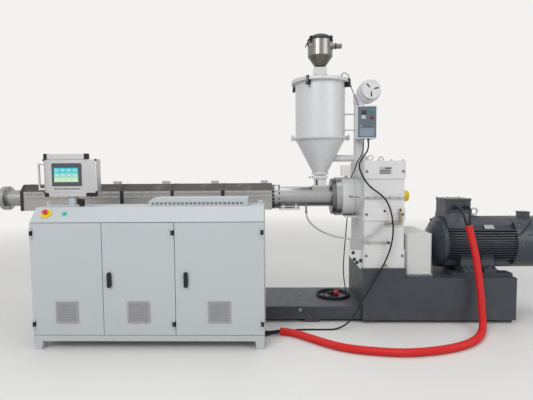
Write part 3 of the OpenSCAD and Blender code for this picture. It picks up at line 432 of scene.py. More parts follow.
# %% Plastic finishes
def plastic(name, colour, roughness, **sockets):
    """Moulded plastic: nearly even colour, smudged gloss and a fine grain."""
    f = Finish(name, colour, roughness, **sockets)
    f.colour(f.blend(f.noise(25.0, 3.0), rgba(colour, 0.9), rgba(colour, 1.08)))
    f.rough(f.between(f.noise(35.0, 4.0), roughness - 0.06, roughness + 0.12, 0.3, 0.7))
    f.bump(f.noise(700.0, 2.0), 0.15, 0.0003)
    return f.material


black_plastic = plastic("black moulded plastic", (0.014, 0.014, 0.016), 0.5, Specular_IOR_Level=0.3)
cable_jacket = plastic("cable jacket", (0.010, 0.010, 0.012), 0.55, Specular_IOR_Level=0.25)
red_conduit = plastic("red corrugated plastic", (0.60, 0.012, 0.012), 0.38, Specular_IOR_Level=0.3)
clear_hose = plastic("pale hose", (0.45, 0.47, 0.46), 0.28, Transmission_Weight=0.15)
yellow_plastic = plastic("yellow plastic", (0.80, 0.60, 0.02), 0.35)
red_plastic = plastic("red plastic", (0.55, 0.02, 0.02), 0.32)

# %% [markdown]
# ### Patterned finishes
#
# Some surfaces carry a pattern that is too fine to model: the covers' rows of slots, the grilles' mesh. Here arithmetic
# on the place makes it. The remainder of a coordinate divided by the pitch tells where a point lies inside its cell,
# and a threshold on that makes the hole.

# %% Sheet, grille and glass
def cell(f, value, pitch, shift=0.0):
    """How far a coordinate is from its cell's middle, as a share of the pitch: 0 in the middle, 0.5 at the edge."""
    steps = f.math("ADD", f.math("DIVIDE", value, pitch), shift)
    return f.math("ABSOLUTE", f.math("SUBTRACT", f.math("FRACT", steps), 0.5))


def lattice(f, pitches, low, high):
    """1 in the middle of each cell of a lattice in X and Z and 0 round it. Low and high are shares for each axis."""
    return f.math("MULTIPLY", *(f.between(cell(f, f.axis(letter), pitch), 1.0, 0.0, start, end)
                                for letter, pitch, start, end in zip("XZ", pitches, low, high)))


def perforated_sheet():
    """Slots 17 by 3 mm on a staggered lattice of 24 by 11 mm, on a sheet with painted shade on its upper faces."""
    f = Finish("perforated cover sheet", (0.45, 0.44, 0.42), 0.45, metallic=0.15)
    screw_y = float(placed([0, 0, 0])[1])
    aside = f.math("ABSOLUTE", f.math("SUBTRACT", f.axis("Y"), screw_y))
    up = f.math("DIVIDE", f.math("SUBTRACT", f.axis("Z"), aside), 0.011)
    odd = f.math("MULTIPLY", f.math("FLOORED_MODULO", f.math("FLOOR", up), 2.0), 0.5)
    across_slot = f.math("ABSOLUTE", f.math("SUBTRACT", f.math("FRACT", up), 0.5))
    along_slot = cell(f, f.axis("X"), 0.024, odd)
    hole = f.math("MULTIPLY", f.between(across_slot, 1.0, 0.0, 0.11, 0.16), f.between(along_slot, 1.0, 0.0, 0.33, 0.37))
    facing = f.put("SeparateXYZ", [("Vector", f.put("TexCoord", output="Normal"))], output="Z")
    # This darkening of faces that look upwards, mottled by noise, is painted shade and dark reflection, not dust.
    dust = f.math("MULTIPLY", f.between(facing, 0.0, 1.2, 0.3, 0.7), f.between(f.noise(7.0, 6.0), 0.7, 1.1, 0.3, 0.7))
    sheet = f.blend(f.noise(3.0, 5.0), (0.40, 0.39, 0.37, 1), (0.50, 0.49, 0.47, 1))
    sheet = f.blend(dust, sheet, (0.055, 0.046, 0.038, 1))
    f.colour(f.blend(hole, sheet, (0.035, 0.033, 0.03, 1)))
    f.rough(f.between(f.noise(40.0, 4.0), 0.34, 0.55, 0.3, 0.7))
    f.bump(f.math("SUBTRACT", 1.0, hole), 0.5, 0.001)
    return f.material


def grille():
    """Painted mesh: dark holes 3 mm across on a lattice of 5 mm."""
    f = Finish("vent grille", (0.30, 0.30, 0.31), 0.5)
    hole = lattice(f, (0.005, 0.005), (0.24, 0.24), (0.32, 0.32))
    sheet = f.blend(f.noise(8.0, 4.0), (0.36, 0.36, 0.37, 1), (0.42, 0.42, 0.43, 1))
    f.colour(f.blend(hole, sheet, (0.16, 0.16, 0.17, 1)))
    f.bump(f.math("SUBTRACT", 1.0, hole), 0.4, 0.0005)
    return f.material


def screen_picture():
    """A lit panel: turquoise above, pale green below, with a few lighter boxes as on any machine's display."""
    f = Finish("lit display", (0.02, 0.03, 0.04), 0.2, Emission_Strength=0.85)
    height = f.between(f.axis("Z"), 0.0, 1.0, 1.468, 1.596)
    tone = f.blend(f.between(height, 0.0, 1.0, 0.15, 0.75), (0.62, 0.85, 0.50, 1), (0.01, 0.62, 0.70, 1))
    box = lattice(f, (0.055, 0.042), (0.30, 0.20), (0.33, 0.24))
    tone = f.blend(f.math("MULTIPLY", box, 0.45), tone, (0.9, 0.97, 0.9, 1))
    f.feed("Emission Color", tone)
    f.rough(f.between(f.noise(30.0, 4.0), 0.12, 0.28, 0.3, 0.7))
    return f.material


perforated, vent_grille, glowing_screen = perforated_sheet(), grille(), screen_picture()
foot_grey = paint("guard foot paint", (0.20, 0.21, 0.22), 0.45, mottle=0.1)
panel_slate = paint("control face paint", (0.10, 0.125, 0.16), 0.4, grain=1200.0, mottle=0.05)
bezel_grey = plastic("screen frame", (0.055, 0.065, 0.085), 0.35)
green_button = plastic("green button", (0.02, 0.50, 0.30), 0.3, Coat_Weight=0.3)
green_dark = plastic("dark green button", (0.01, 0.25, 0.13), 0.3, Coat_Weight=0.3)
red_dark = plastic("dark red button", (0.16, 0.01, 0.02), 0.3, Coat_Weight=0.3)
label_blue = plastic("blank label", (0.20, 0.26, 0.32), 0.4)
black_glass = plastic("dark window", (0.012, 0.014, 0.018), 0.12, Coat_Weight=0.5)
plate_metal = metal("blank name plates", (0.45, 0.45, 0.44), 0.36, stretch=(0.2, 2.0, 2.0), stain=0.08)
print(len(bpy.data.materials), "finishes mixed")

# %% [markdown]
# ## Cords
#
# A cable is a fixed length of something that bends, so its shape comes from a path and not from its outline. A curve
# object with a bevel would do for a plain cable. Here each path is a smooth spline through a few points that a hand
# could measure, and a ring of points is carried along it, because the same function can then press the rings of a
# corrugated pipe into the surface.

# %% Paths and tubes
GOLDEN_ANGLE = 2.399963


def spline(knots, step=8.0):
    """A smooth path through knots: one cubic per gap whose second derivatives, solved together, join without a kink."""
    knots = np.asarray(knots, float)
    t = np.concatenate([[0.0], np.cumsum(np.linalg.norm(np.diff(knots, axis=0), axis=1) ** 0.75)])
    n, h = len(knots), np.diff(t)
    system, right_side = np.eye(n), np.zeros((n, 3))
    i = np.arange(1, n - 1)
    system[i, i - 1], system[i, i], system[i, i + 1] = h[:-1], 2 * (h[:-1] + h[1:]), h[1:]
    slope = np.diff(knots, axis=0) / h[:, None]
    right_side[1:-1] = 6 * np.diff(slope, axis=0)
    bend = np.linalg.solve(system, right_side)
    s = np.linspace(0, t[-1], 60 * n)
    k = np.clip(np.searchsorted(t, s, side="right") - 1, 0, n - 2)
    a, b, g = (t[k + 1] - s)[:, None], (s - t[k])[:, None], h[k][:, None]
    dense = (bend[k] * a**3 + bend[k + 1] * b**3) / (6 * g) + (knots[k] / g - bend[k] * g / 6) * a \
        + (knots[k + 1] / g - bend[k + 1] * g / 6) * b
    return evened(dense, step)


def evened(path, step):
    """The same path with its points an even step apart, read off its length so far."""
    run = np.concatenate([[0.0], np.cumsum(np.linalg.norm(np.diff(path, axis=0), axis=1))])
    marks = np.linspace(0, run[-1], max(3, int(round(run[-1] / step)) + 1))
    return np.column_stack([np.interp(marks, run, path[:, k]) for k in range(3)])


def length_of(path):
    """Sum of the distances between neighbouring points, in metres."""
    return float(np.linalg.norm(np.diff(path, axis=0), axis=1).sum()) / 1000.0


def tube(path, radius, sides):
    """A ring of points across each point of a path. The rings' first direction is one that the path never follows."""
    ahead = np.gradient(path, axis=0)
    ahead /= np.linalg.norm(ahead, axis=1, keepdims=True)
    golden = np.arange(200) * GOLDEN_ANGLE
    z = 1 - 2 * (np.arange(200) + 0.5) / 200
    guesses = np.column_stack([np.sqrt(1 - z * z) * np.cos(golden), np.sqrt(1 - z * z) * np.sin(golden), z])
    best = guesses[np.argmin(np.abs(guesses @ ahead.T).max(1))]
    u = best - (ahead @ best)[:, None] * ahead
    u /= np.linalg.norm(u, axis=1, keepdims=True)
    v = np.cross(ahead, u)
    angle = np.linspace(0, 2 * math.pi, sides, endpoint=False)
    ring = np.cos(angle)[None, :, None] * u[:, None] + np.sin(angle)[None, :, None] * v[:, None]
    return capped(path[:, None] + np.broadcast_to(radius, len(path))[:, None, None] * ring)


def new_cord(name, path, radius, nodes,
             material=cable_jacket, sides=14, surface=None):
    """A cable along a path: its mesh, and the CAD nodes that it stands for, which it hides. Its length is printed."""
    cord = new_piece(name, tube(path, radius if surface is None else surface, sides), material)
    if nodes:
        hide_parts(*nodes)
    print(name, round(length_of(path), 2), "m")


# %% [markdown]
# ### The red conduit and its cables
#
# The corrugated pipe carries both motor cables. It starts open in the air in front of the terminal box, hangs down the
# front of the frame, and lies in a wide curve on the floor to the cabinet. Its rings are real geometry: along the path
# the radius follows a rounded wave.

# %% Conduit and motor cables
CONDUIT = [[1900, -452, 1006], [1919, -462, 925], [1942, -476, 810], [1966, -489, 680],
           [1984, -499, 545], [1999, -509, 410], [2009, -520, 280], [2009, -545, 150],
           [1990, -600, 68], [1938, -690, 37], [1840, -830, 35], [1700, -960, 35],
           [1520, -1060, 35], [1300, -1130, 35], [1060, -1160, 35], [820, -1130, 35],
           [590, -1060, 35], [400, -930, 35], [240, -790, 35], [130, -715, 35], [40, -690, 35]]
CONDUIT_R, CONDUIT_PITCH, CONDUIT_STEP, WAVE_DEPTH = 35.0, 15.0, 3.75, 2.6
conduit_path = spline(CONDUIT, CONDUIT_STEP)
conduit_path[:, 2] = np.maximum(conduit_path[:, 2], CONDUIT_R)
wave = np.cos(2 * math.pi * np.arange(len(conduit_path)) * CONDUIT_STEP / CONDUIT_PITCH)
new_cord("conduit_cord", conduit_path, CONDUIT_R, ["conduit"], material=red_conduit,
         sides=20, surface=CONDUIT_R - WAVE_DEPTH * (0.5 + 0.5 * wave))

for side, knots in (
    ("left", [[1896, -172, 1165], [1898, -235, 1155], [1888, -330, 1128], [1880, -410, 1077], [1887, -449, 1007]]),
    ("right", [[2013, -172, 1165], [2009, -240, 1150], [1965, -340, 1113], [1924, -420, 1064], [1914, -452, 1007]]),
):
    new_cord("motor_cable_" + side, spline(knots), 12.0, ["motor_cables"])
for side, knots in (
    ("left", [[36, -706, 35], [-40, -712, 22], [-120, -730, 13], [-185, -735, 30], [-200, -735, 75]]),
    ("right", [[44, -674, 35], [-35, -668, 22], [-120, -672, 13], [-225, -680, 30], [-245, -680, 75]]),
):
    new_cord("conduit_tail_" + side, spline(knots), 11.0, ["conduit_tails"])

# %% [markdown]
# ### The dryer's lead and its coil
#
# The lead leaves the control box, hangs behind the bearing housing and is coiled on the bed. Two turns lie on three:
# the upper layer widens to the rim, drops beside it and winds back inwards, so no turn crosses another, and the last
# half turn bends in to the plug. Each layer is a spiral whose radius grows or shrinks by a little more than the lead's
# diameter a turn.

# %% Dryer lead
DRYER_LEAD = [[930, -130, 1860], [930, -130, 1800], [923, -128, 1745], [902, -118, 1698],
              [876, -102, 1652], [865, -80, 1610], [858, -40, 1565], [852, 20, 1530], [848, 90, 1495],
              [843, 160, 1445], [842, 215, 1380], [842, 240, 1280], [838, 242, 1150],
              [825, 240, 960], [805, 235, 740], [790, 228, 540], [785, 215, 380]]
BED_TOP, COIL_X, COIL_Y, LEAD_R = 168.0, 640.0, 40.0, 6.0


def coil_turns(start_radius, end_radius, start_turn, turns, z_start, z_end, drop_from=1.0):
    """A flat clockwise spiral: the radius changes evenly, and the height changes only after drop_from."""
    share = np.linspace(0, 1, int(12 * turns) + 1)
    angle = 2 * math.pi * (start_turn - share * turns)
    radius = start_radius + (end_radius - start_radius) * share
    fall = np.clip((share - drop_from) / max(1e-9, 1 - drop_from), 0, 1)
    z = z_start + (z_end - z_start) * fall * fall * (3 - 2 * fall)
    return np.column_stack([COIL_X + radius * np.cos(angle), COIL_Y + radius * np.sin(angle), z])


upper = coil_turns(161.0, 187.0, 0.05, 2.0, BED_TOP + 18.5, BED_TOP + LEAD_R, drop_from=0.9375)
lower = coil_turns(187.0, 147.0, 0.05, 3.1, BED_TOP + LEAD_R, BED_TOP + LEAD_R)
to_plug = [[640, -101, 174], [573, -76, 175], [542.3, -36.3, 178], [532, -8, 184], [546, 26, 193], [580, 40, 198]]
landing = [[792, 180, 270], [796, 140, 216], [797, 110, 194]]
lead_knots = np.concatenate([DRYER_LEAD, landing, upper, lower[1:], to_plug])
dryer_lead_path = spline(lead_knots)
print("lead coil", len(lead_knots), "points")

# %% [markdown]
# The plug is a heavy round one for three phases: a grey sleeve with grip ribs that clamps the lead, and a red shroud
# round its pins. Both are turned profiles, and the ribs are one thin block repeated round the axis.

# %% Plug
PLUG_AXIS = (COIL_Y, BED_TOP + 30.0)
PLUG_AT = (0, *PLUG_AXIS)
sleeve = turned([(576, 7), (576, 13), (588, 15), (590, 20), (606, 24), (612, 26), (646, 26), (650, 24)], PLUG_AT,
                sides=40)
rib_places = round_places(18, 25.6, 629, axis=PLUG_AXIS)
ribs = repeated(slab((-1.2, -12, -0.8), (1.2, 12, 0.8)), rib_places, outward(rib_places, PLUG_AXIS))
plug_sleeve = new_piece("dryer_plug_sleeve", joined(sleeve, ribs), black_plastic, 0.6)
shroud = turned([(649, 22), (649, 28), (653, 30), (696, 30), (700, 28.5), (700, 26), (664, 25), (662, 22)], PLUG_AT,
                sides=40, ring=True)
face = turned([(655, 0.5), (655, 25), (667, 25), (667, 1)], PLUG_AT, sides=32)
plug_shroud = new_piece("dryer_plug_shroud", joined(shroud, face), red_plastic)
pin = turned([(0, 3.2), (24, 3.2), (27, 2)], axis=(0, 0, 1), sides=14)
pins = repeated(pin, round_places(4, 13, 666, start=45, axis=PLUG_AXIS), (1, 0, 0))
plug_pins = new_piece("dryer_plug_pins", pins, brass)
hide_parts("dryer_plug")
new_cord("dryer_lead_cord", dryer_lead_path, LEAD_R, ["dryer_lead", "dryer_lead_coil"],
         sides=12)

# %% [markdown]
# ### Control cable, water hose and sensor cable
#
# The control cable comes out of the dryer's box, clings to the gearbox's front where the fitters tied it, and crosses
# the floor to the cabinet. The pale hose hangs in one loose bow, because it is fixed only at its two fittings.

# %% The thinner cords
GEARBOX_FRONT, CABLE_R = -370.0, 8.0
CABLE_Y, HOSE_Y = GEARBOX_FRONT - 32.0, GEARBOX_FRONT - 22.0
control_path = spline([
    [980, -150, 1860], [975, -160, 1790], [905, -260, 1700], [850, -340, 1620],
    [850, CABLE_Y + 12, 1550], [880, CABLE_Y, 1480], [958, CABLE_Y, 1385], [1078, CABLE_Y, 1290], [1145, CABLE_Y, 1170],
    [1170, CABLE_Y - 22, 1000], [1158, CABLE_Y - 20, 830], [1098, CABLE_Y - 20, 650], [972, CABLE_Y - 38, 430],
    [850, -470, 240], [720, -530, 70], [560, -570, 8], [340, -575, 8],
    [120, -600, 8], [-60, -627, 8], [-200, -632, 14], [-320, -632, 38], [-340, -632, 75]])
control_path[:, 2] = np.maximum(control_path[:, 2], CABLE_R)
new_cord("control_cable_cord", control_path, CABLE_R, ["control_cable"])
hose_path = spline([
    [335, -60, 1105], [345, -90, 1050], [400, -170, 980], [500, -270, 920],
    [640, -340, 882], [790, HOSE_Y + 7, 868], [920, HOSE_Y - 6, 888], [1020, HOSE_Y - 6, 945],
    [1060, HOSE_Y, 1005], [1106, HOSE_Y, AXIS_Z - 256]])
new_cord("water_hose_cord", hose_path, 9.0, ["water_hose"], material=clear_hose, sides=18)
sensor_path = spline([[700, -110, 2535], [712, -125, 2570], [750, -150, 2560], [780, -160, 2480],
                      [810, -160, 2380], [850, -155, 2290], [870, -150, 2222]])
new_cord("sensor_cable_cord", sensor_path, 4.0, ["sensor_cable"], sides=10)

# %% [markdown]
# ## The CAD solids in their finishes
#
# A sheet or casting has no perfectly sharp edge: a thin line of light runs along each. The CAD meshes are loose
# triangles, which a Bevel modifier can't follow, so each node gets a merged copy with flat neighbours dissolved, and
# the copy stands for the node. The bevel's width is the real radius: a millimetre or two on folded sheet, four on a
# casting. Where one solid holds two finishes, a test on the faces' centres picks those that take the second.

# %% Dress the nodes
SAME_PLACE, STILL_FLAT = 2e-5, math.radians(0.5)


def dressed(node, material, bevel, others):
    """A CAD node as one clean mesh with rounded edges. Others are (finish, test on face centres in mm) pairs."""
    source = frame["nodes"][node]
    clean = bmesh.new()
    clean.from_mesh(source.data)
    bmesh.ops.remove_doubles(clean, verts=clean.verts, dist=SAME_PLACE)
    bmesh.ops.dissolve_limit(clean, angle_limit=STILL_FLAT, verts=clean.verts, edges=clean.edges)
    mesh = bpy.data.meshes.new(node + "_skin")
    clean.to_mesh(mesh)
    clean.free()
    centres = np.empty(3 * len(mesh.polygons))
    mesh.polygons.foreach_get("center", centres)
    x, y, z = (centres.reshape(-1, 3) * 1000.0 + PLAN_CENTRE).T
    which = np.zeros(len(x), int)
    for number, (_, test) in enumerate(others, 1):
        which[test(x, y, z)] = number
    piece = finished(node + "_skin", mesh, material, bevel, source["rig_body"])
    for second, _ in others:
        mesh.materials.append(second)
    mesh.polygons.foreach_set("material_index", which)
    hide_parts(node)


def vent_faces(middle):
    """Faces of the grille whose middle is at this x."""
    return lambda x, y, z: (np.abs(x - middle) < 100) & (np.abs(z - 335) < 98)


def pin_ends(x, y, z):
    """Faces of the hinge pins beyond the 40 mm blocks."""
    return np.minimum(np.abs(z - 230), np.abs(z - 1030)) > 20.5


def knuckles(x, y, z):
    """Faces of the hinge knuckles, which are painted with the doors."""
    return np.abs(z - 630) > 350


def vent_slot_shade(x, y, z):
    """Floors of the slots in the cover on the cabinet's top, darkened as painted shade inside the slots."""
    return (y > -849.9) & (y < -843) & (z > 1258) & (z < 1280)


def stop_collar(x, y, z):
    """The emergency stop's collar: left of the start button, and low along the axis that leans with the panel."""
    return (x < -1930) & ((z - 1190) * 0.698 - (y + 961.7) * 0.716 < 13)


def handle_blocks(x, y, z):
    """The four corner blocks of the pod's handle bars."""
    return ((z > 1673) & (np.abs(x + 1891) > 169.5)) | ((z < 1371) & (np.abs(x + 1881) > 170.5))


for node, material, bevel, *others in [
    ("base_frame", slate_paint, 2.5), ("bed_frame", slate_paint, 2.5), ("floor_pads", cast_steel, 2.0),
    ("barrel", turned_steel, 1.0), ("barrel_heaters", aluminium, 1.5), ("barrel_covers", perforated, 0.0),
    ("cover_straps", black_paint, 0.8), ("feed_section", feed_steel, 1.2), ("feed_tray", white_paint, 0.8),
    ("ring_flange", dark_steel, 2.0, (feed_steel, lambda x, y, z: x > 651)),
    ("bearing_housing", white_paint, 3.0), ("gearbox_lower_case", white_paint, 4.0),
    ("gearbox_upper_case", white_paint, 4.0), ("gearbox_cover", white_paint, 3.0),
    ("pipes_and_fittings", dull_fitting, 1.0), ("shaft_end_cap", yellow_plastic, 3.0),
    ("coupling_guard", guard_paint, 1.5, (foot_grey, lambda x, y, z: z < 495.5)),
    ("lifting_eyes", hopper_paint, 0.0), ("motor_housing", motor_paint, 1.0), ("motor_cowl", motor_paint, 1.5),
    ("motor_terminal_box", motor_paint, 3.0), ("throat_neck", white_paint, 1.0), ("slide_gate", feed_steel, 0.6),
    ("hopper_shell", hopper_paint, 1.0), ("hopper_lid", hopper_paint, 1.5),
    ("loader_body", polished, 0.8, (white_paint, lambda x, y, z: (z < 2654.5) & (np.abs(x - HOPPER_X) < 69)),
     (cone_steel_dark_reflection, lambda x, y, z: (z > 2662) & (z < 2765))),
    ("loader_lid", black_paint, 1.5), ("dryer_heater", hopper_paint, 1.5), ("dryer_blower", hopper_paint, 3.0),
    ("dryer_control_box", hopper_paint, 1.5, (panel_slate, lambda x, y, z: y < -223.5)),
    ("junction_box", box_paint_lightened, 1.5), ("cabinet_base", cabinet_paint, 1.2), ("cabinet_sides", cabinet_paint, 0.6),
    ("cabinet_back", cabinet_paint, 0.8), ("cabinet_top", cabinet_paint, 1.0), ("cabinet_posts", cabinet_paint, 1.0),
    ("mounting_plate", galvanised, 0.8), ("hinge_pins", black_plastic, 0.8, (cabinet_paint, pin_ends)),
    ("door_left", cabinet_paint, 1.2), ("door_middle", cabinet_paint, 1.2), ("door_right", cabinet_paint, 1.2),
    ("door_left_fittings", black_plastic, 0.8, (cabinet_paint, knuckles), (vent_grille, vent_faces(-1822))),
    ("door_middle_fittings", black_plastic, 0.8, (cabinet_paint, knuckles), (vent_grille, vent_faces(-1192))),
    ("door_right_fittings", black_plastic, 0.8, (cabinet_paint, knuckles), (vent_grille, vent_faces(-489))),
    ("top_vent_cover", cabinet_paint, 1.2, (foot_grey, vent_slot_shade)),
    ("push_buttons", red_plastic, 0.6, (green_button, lambda x, y, z: x > -1930), (yellow_plastic, stop_collar)),
    ("operator_post", cabinet_paint, 1.5), ("operator_pod", pod_metal, 2.5), ("pod_screen", bezel_grey, 0.6),
    ("pod_handles", pod_metal, 1.0, (black_plastic, handle_blocks)), ("hopper_clamps", black_plastic, 1.0),
]:
    dressed(node, material, bevel, others)

# %% [markdown]
# ## Fasteners
#
# A hex head is a six-sided turned profile with a chamfer, on a round washer. A socket screw is a round one whose
# profile dips into its middle. One small shape is repeated at all its places in a single mesh, each copy turned to its
# own axis. That is quicker than an object per bolt, and the file lists the places as a drawing would.

# %% Bolts and screws
UP, FRONT, LEFT = (0, 0, 1), (0, -1, 0), (-1, 0, 0)


def hex_head(width, height):
    """A hexagon of this width over its corners with a chamfered top, on a washer 2 mm thick."""
    head = turned([(-1, width / 2), (2 + 0.75 * height, width / 2), (2 + height, 0.42 * width)], axis=UP, sides=6)
    washer = turned([(-1, 0.68 * width), (1.5, 0.68 * width), (2, 0.64 * width)], axis=UP, sides=16)
    return joined(head, washer)


def socket_head(width, height):
    """A round head whose profile runs over its rim and down into a hollow half as wide."""
    r = width / 2
    return turned([(-1, r), (0.9 * height, r), (height, 0.9 * r), (height, 0.52 * r), (0.45 * height, 0.48 * r)],
                  axis=UP, sides=14)


def bolts(name, head, places, axes=UP, material=zinc):
    """One mesh with a copy of a head at each place, turned to its own axis."""
    new_piece(name, repeated(head, places, axes), material)


def level_grid(xs, ys, z):
    """Every pairing of these x and y at one height."""
    return np.array([[x, y, z] for x in xs for y in ys], float)


def aside(places):
    """For each place, the direction away from the upright plane through the screw's axis."""
    return np.sign(places) * [0, 1, 0]


bolts("joint_flange_screws", socket_head(19, 20), round_places(20, 121.5, -9, 9), LEFT, black_oxide)
bolts("feed_flange_nuts", socket_head(17, 14), round_places(12, 122, 36, 9), (1, 0, 0), black_oxide)
front = np.array([[x, GEARBOX_FRONT, z] for z in (1546, 1113, 692) for x in (919, 1282)])
for side, y in (("front", -1), ("back", 1)):
    bolts("gearbox_%s_bolts" % side, hex_head(20, 10), front * [1, -y, 1], (0, y, 0), dark_steel)
bolts("gearbox_cover_bolts", hex_head(24, 11), level_grid((910, 1040, 1170, 1285), (-345, 345), 1652))
HOUSING_R = 202 * 0.995  # just inside the housing's skin, so that the screws are seated
housing_top = np.array([[x, -HOUSING_R * math.sin(a), AXIS_Z + HOUSING_R * math.cos(a)]
                        for x in (732, 764, 796, 828, 872) for a in (0.28, -0.28)])
bolts("bearing_top_screws", socket_head(16, 12), housing_top, outward(housing_top))
bolts("motor_foot_bolts", hex_head(38, 18), level_grid((1998, 2210), (-262, 262), 535), UP, motor_paint)
MOTOR_AXIS = (0.0, MOTOR_Z)
bell = round_places(8, 248, 1736, 22.5, MOTOR_AXIS)
bolts("motor_bell_bolts", hex_head(22, 12), bell, LEFT, motor_paint)
cowl = np.concatenate([round_places(8, 274.5, x, start, MOTOR_AXIS) for x, start in ((2540, 0), (2900, 22.5))])
bolts("motor_cowl_screws", socket_head(11, 5), cowl, outward(cowl, MOTOR_AXIS))
bolts("terminal_lid_screws", socket_head(14, 8), level_grid((1814, 1934, 2054), (-138, 138), 1253))
strip = level_grid((1352, 1465, 1578), (-330, 330), 483)
bolts("guard_strip_bolts", hex_head(17, 8), strip, aside(strip))
bed = np.array([[x, y, 130.0] for y in (-360, 360) for x in (-2000, -1250, -500, 250)])
bolts("bed_joint_bolts", hex_head(24, 11), bed, aside(bed))
print("bolts and screws set")

# %% [markdown]
# ## Barrel covers
#
# Each slot in the covers has a pressed hood over it, which lets hot air out and keeps drips off. A hood is a strip of
# sheet with its upper edge still joined, so its section is a thin bent line, pushed along the slot. A second row of
# pressed hoods runs below. The small boxes on top hold the heaters' terminals.

# %% Louvre hoods and terminal boxes
ZONES, STRAP, FIRST, PITCH, ROW_DROP = 5, 38.0, -2741.0, 541.2, 46
SLOTS, HOOD_HALF = 5, 39
cover_left = FIRST + PITCH * np.arange(ZONES) + STRAP
slot_middle = (cover_left[:, None] + (np.arange(SLOTS) + 0.5) * (PITCH - STRAP) / SLOTS).ravel()
section = np.array([[149.0, 1346.0], [153.5, 1345.0], [158.5, 1332.0], [158.5, 1328.5], [156.5, 1328.5],
                    [156.5, 1331.6], [152.2, 1342.6], [149.0, 1342.6]])
hoods = [pushed(np.column_stack([np.zeros(8), side * section[:, 0], section[:, 1] - drop]),
                (x - HOOD_HALF, 0, 0), (x + HOOD_HALF, 0, 0))
         for drop in (0, ROW_DROP) for side in (-1, 1) for x in slot_middle]
new_piece("louvre_hoods", joined(*hoods), dull_sheet, 0.5)
boxes = [joined(slab((x - 38, -12, 1427.5), (x + 38, 42, 1452)), slab((x - 40, -14, 1452), (x + 40, 44, 1458)))
         for x in list(FIRST + PITCH * np.arange(1, ZONES) - 85) + [-120.0]]
new_piece("heater_terminal_boxes", joined(*boxes), cabinet_paint, 2.0)
edges = [slab((x + 3, side * 150 - 1.6, z), (x + PITCH - STRAP - 3, side * 150 + 1.6, z + 9))
         for x in cover_left for side in (-1, 1) for z in (1153.0, 1343.5)]
new_piece("cover_folds", joined(*edges), dull_sheet, 0.8)
rivets = np.array([[x + dx, side * 151.6, z] for x in cover_left for dx in (14, PITCH - STRAP - 14) for side in (-1, 1)
                   for z in (1158, 1250)])
bolts("cover_screws", socket_head(9, 4), rivets, aside(rivets))
print(len(hoods), "hoods on the covers")

# %% [markdown]
# ## Gearbox fittings
#
# The oil pipe leaves the bearing housing, bends along the gearbox's front and has a union wherever the fitter had to
# join it. The plate carries plain bars. Pipes are tubes along a spline, unions are six-sided turned pieces. A thin ring
# seats the bearing housing in the gearbox's wall.

# %% Pipes, plate and drain
def union(x, y, z, axis=(1, 0, 0), width=26.0, length=22.0):
    """A pipe nut: six sides, chamfered at both ends."""
    w = width / 2
    return turned([(-length / 2, 0.8 * w), (-length / 2 + 2, w), (length / 2 - 2, w), (length / 2, 0.8 * w)], (x, y, z),
                  axis, sides=6)


PIPE_R, PIPE_Y = 6.0, GEARBOX_FRONT - 14
oil_pipe = spline([[770, -196, 1290], [790, -240, 1290], [820, -330, 1289], [870, -378, 1288], [930, PIPE_Y, 1286],
                   [1060, PIPE_Y, 1285], [1160, PIPE_Y, 1284], [1262, PIPE_Y, 1283], [1290, -376, 1283],
                   [1296, -356, 1283]])
drain_pipe = spline([[876, -340, 834], [885, -372, 834], [905, PIPE_Y, 834], [1000, PIPE_Y, 833], [1100, PIPE_Y, 832],
                     [1128, -378, 832], [1134, -356, 832]])
new_piece("oil_pipes", joined(tube(oil_pipe, PIPE_R, 16), tube(drain_pipe, PIPE_R, 16)), zinc)
oil_unions = [union(x, PIPE_Y, 1285) for x in (925, 1000, 1150, 1235)] + [union(780, -215, 1290, (0.4, -1, 0))]
oil_unions += [union(x, PIPE_Y, 833) for x in (930, 1080)]
oil_unions.append(turned([(0, 12), (20, 12), (22, 9)], (1134, -360, 832), FRONT, 16))
new_piece("oil_pipe_unions", joined(*oil_unions), zinc, 0.4)
drain = turned([(-14, 9), (12, 9), (14, 14), (34, 14), (38, 10)], (1105, -372, 601), FRONT, 16)
unions = joined(union(1105, -372, 601, (0, 1, 0), 30, 18), drain, union(1106, -392, 1024, width=30, length=26),
                union(1180, -392, 1024, width=28), union(1250, -392, 1060, UP, 34, 30),
                union(1250, -392, 1130, (0, 1, 0), 34, 34), union(335, -60, 1112, UP, 30, 18))
new_piece("pipe_unions", unions, brass, 0.4)
knobs = joined(turned([(0, 5), (16, 5), (17, 13), (25, 14), (28, 10)], (1134, -380, 832), FRONT, 12),
               turned([(0, 6), (18, 6), (19, 12), (26, 13), (29, 9)], (1250, -392, 1142), UP, 12),
               turned([(-1, 11), (6, 11), (8, 8)], (1099, GEARBOX_FRONT, 1148), FRONT, 16))
new_piece("valve_knobs", knobs, black_plastic)
new_piece("gearbox_plate", slab((1042, -371.6, 1518), (1166, -369, 1591)), plate_metal, 0.6)
bar_ends = [(1098, 1160, 1569, 1584)] + [(1050, 1152, z, z + 9) for z in (1522, 1537, 1552)]
plate_bars = [slab((x0, -372.2, z0), (x1, -371, z1)) for x0, x1, z0, z1 in bar_ends]
new_piece("gearbox_plate_bars", joined(*plate_bars), bezel_grey)
bolts("gearbox_plate_rivets", socket_head(5, 2), [[x, -371.6, z] for x in (1047, 1161) for z in (1523, 1586)], FRONT)
seat = turned([(884, 186), (884, 201.5), (897, 201.5), (897, 186)], (0, 0, AXIS_Z), sides=96, ring=True)
new_piece("bearing_seat", seat, white_paint)
gusset = np.array([[886.0, 0, 745], [886, 0, 548], [868, 0, 548], [748, 0, 692], [748, 0, 745]])
bracket = joined(slab((735, -190, 1067), (860, 120, 1079)), pushed(gusset, (0, -330, 0), (0, -315, 0)))
new_piece("bearing_bracket", bracket, white_paint, 1.5)
bracket_at = [[794, -330, 718], [807, -330, 650], [833, -330, 617], [870, -330, 636]]
bolts("bracket_bolts", hex_head(27, 12), bracket_at, FRONT, black_oxide)
nose = turned([(-4, 58), (6, 60), (22, 56), (31, 44), (35, 22)], (1418, 0, AXIS_Z))
new_piece("shaft_cap_nose", nose, yellow_plastic, 2.0)
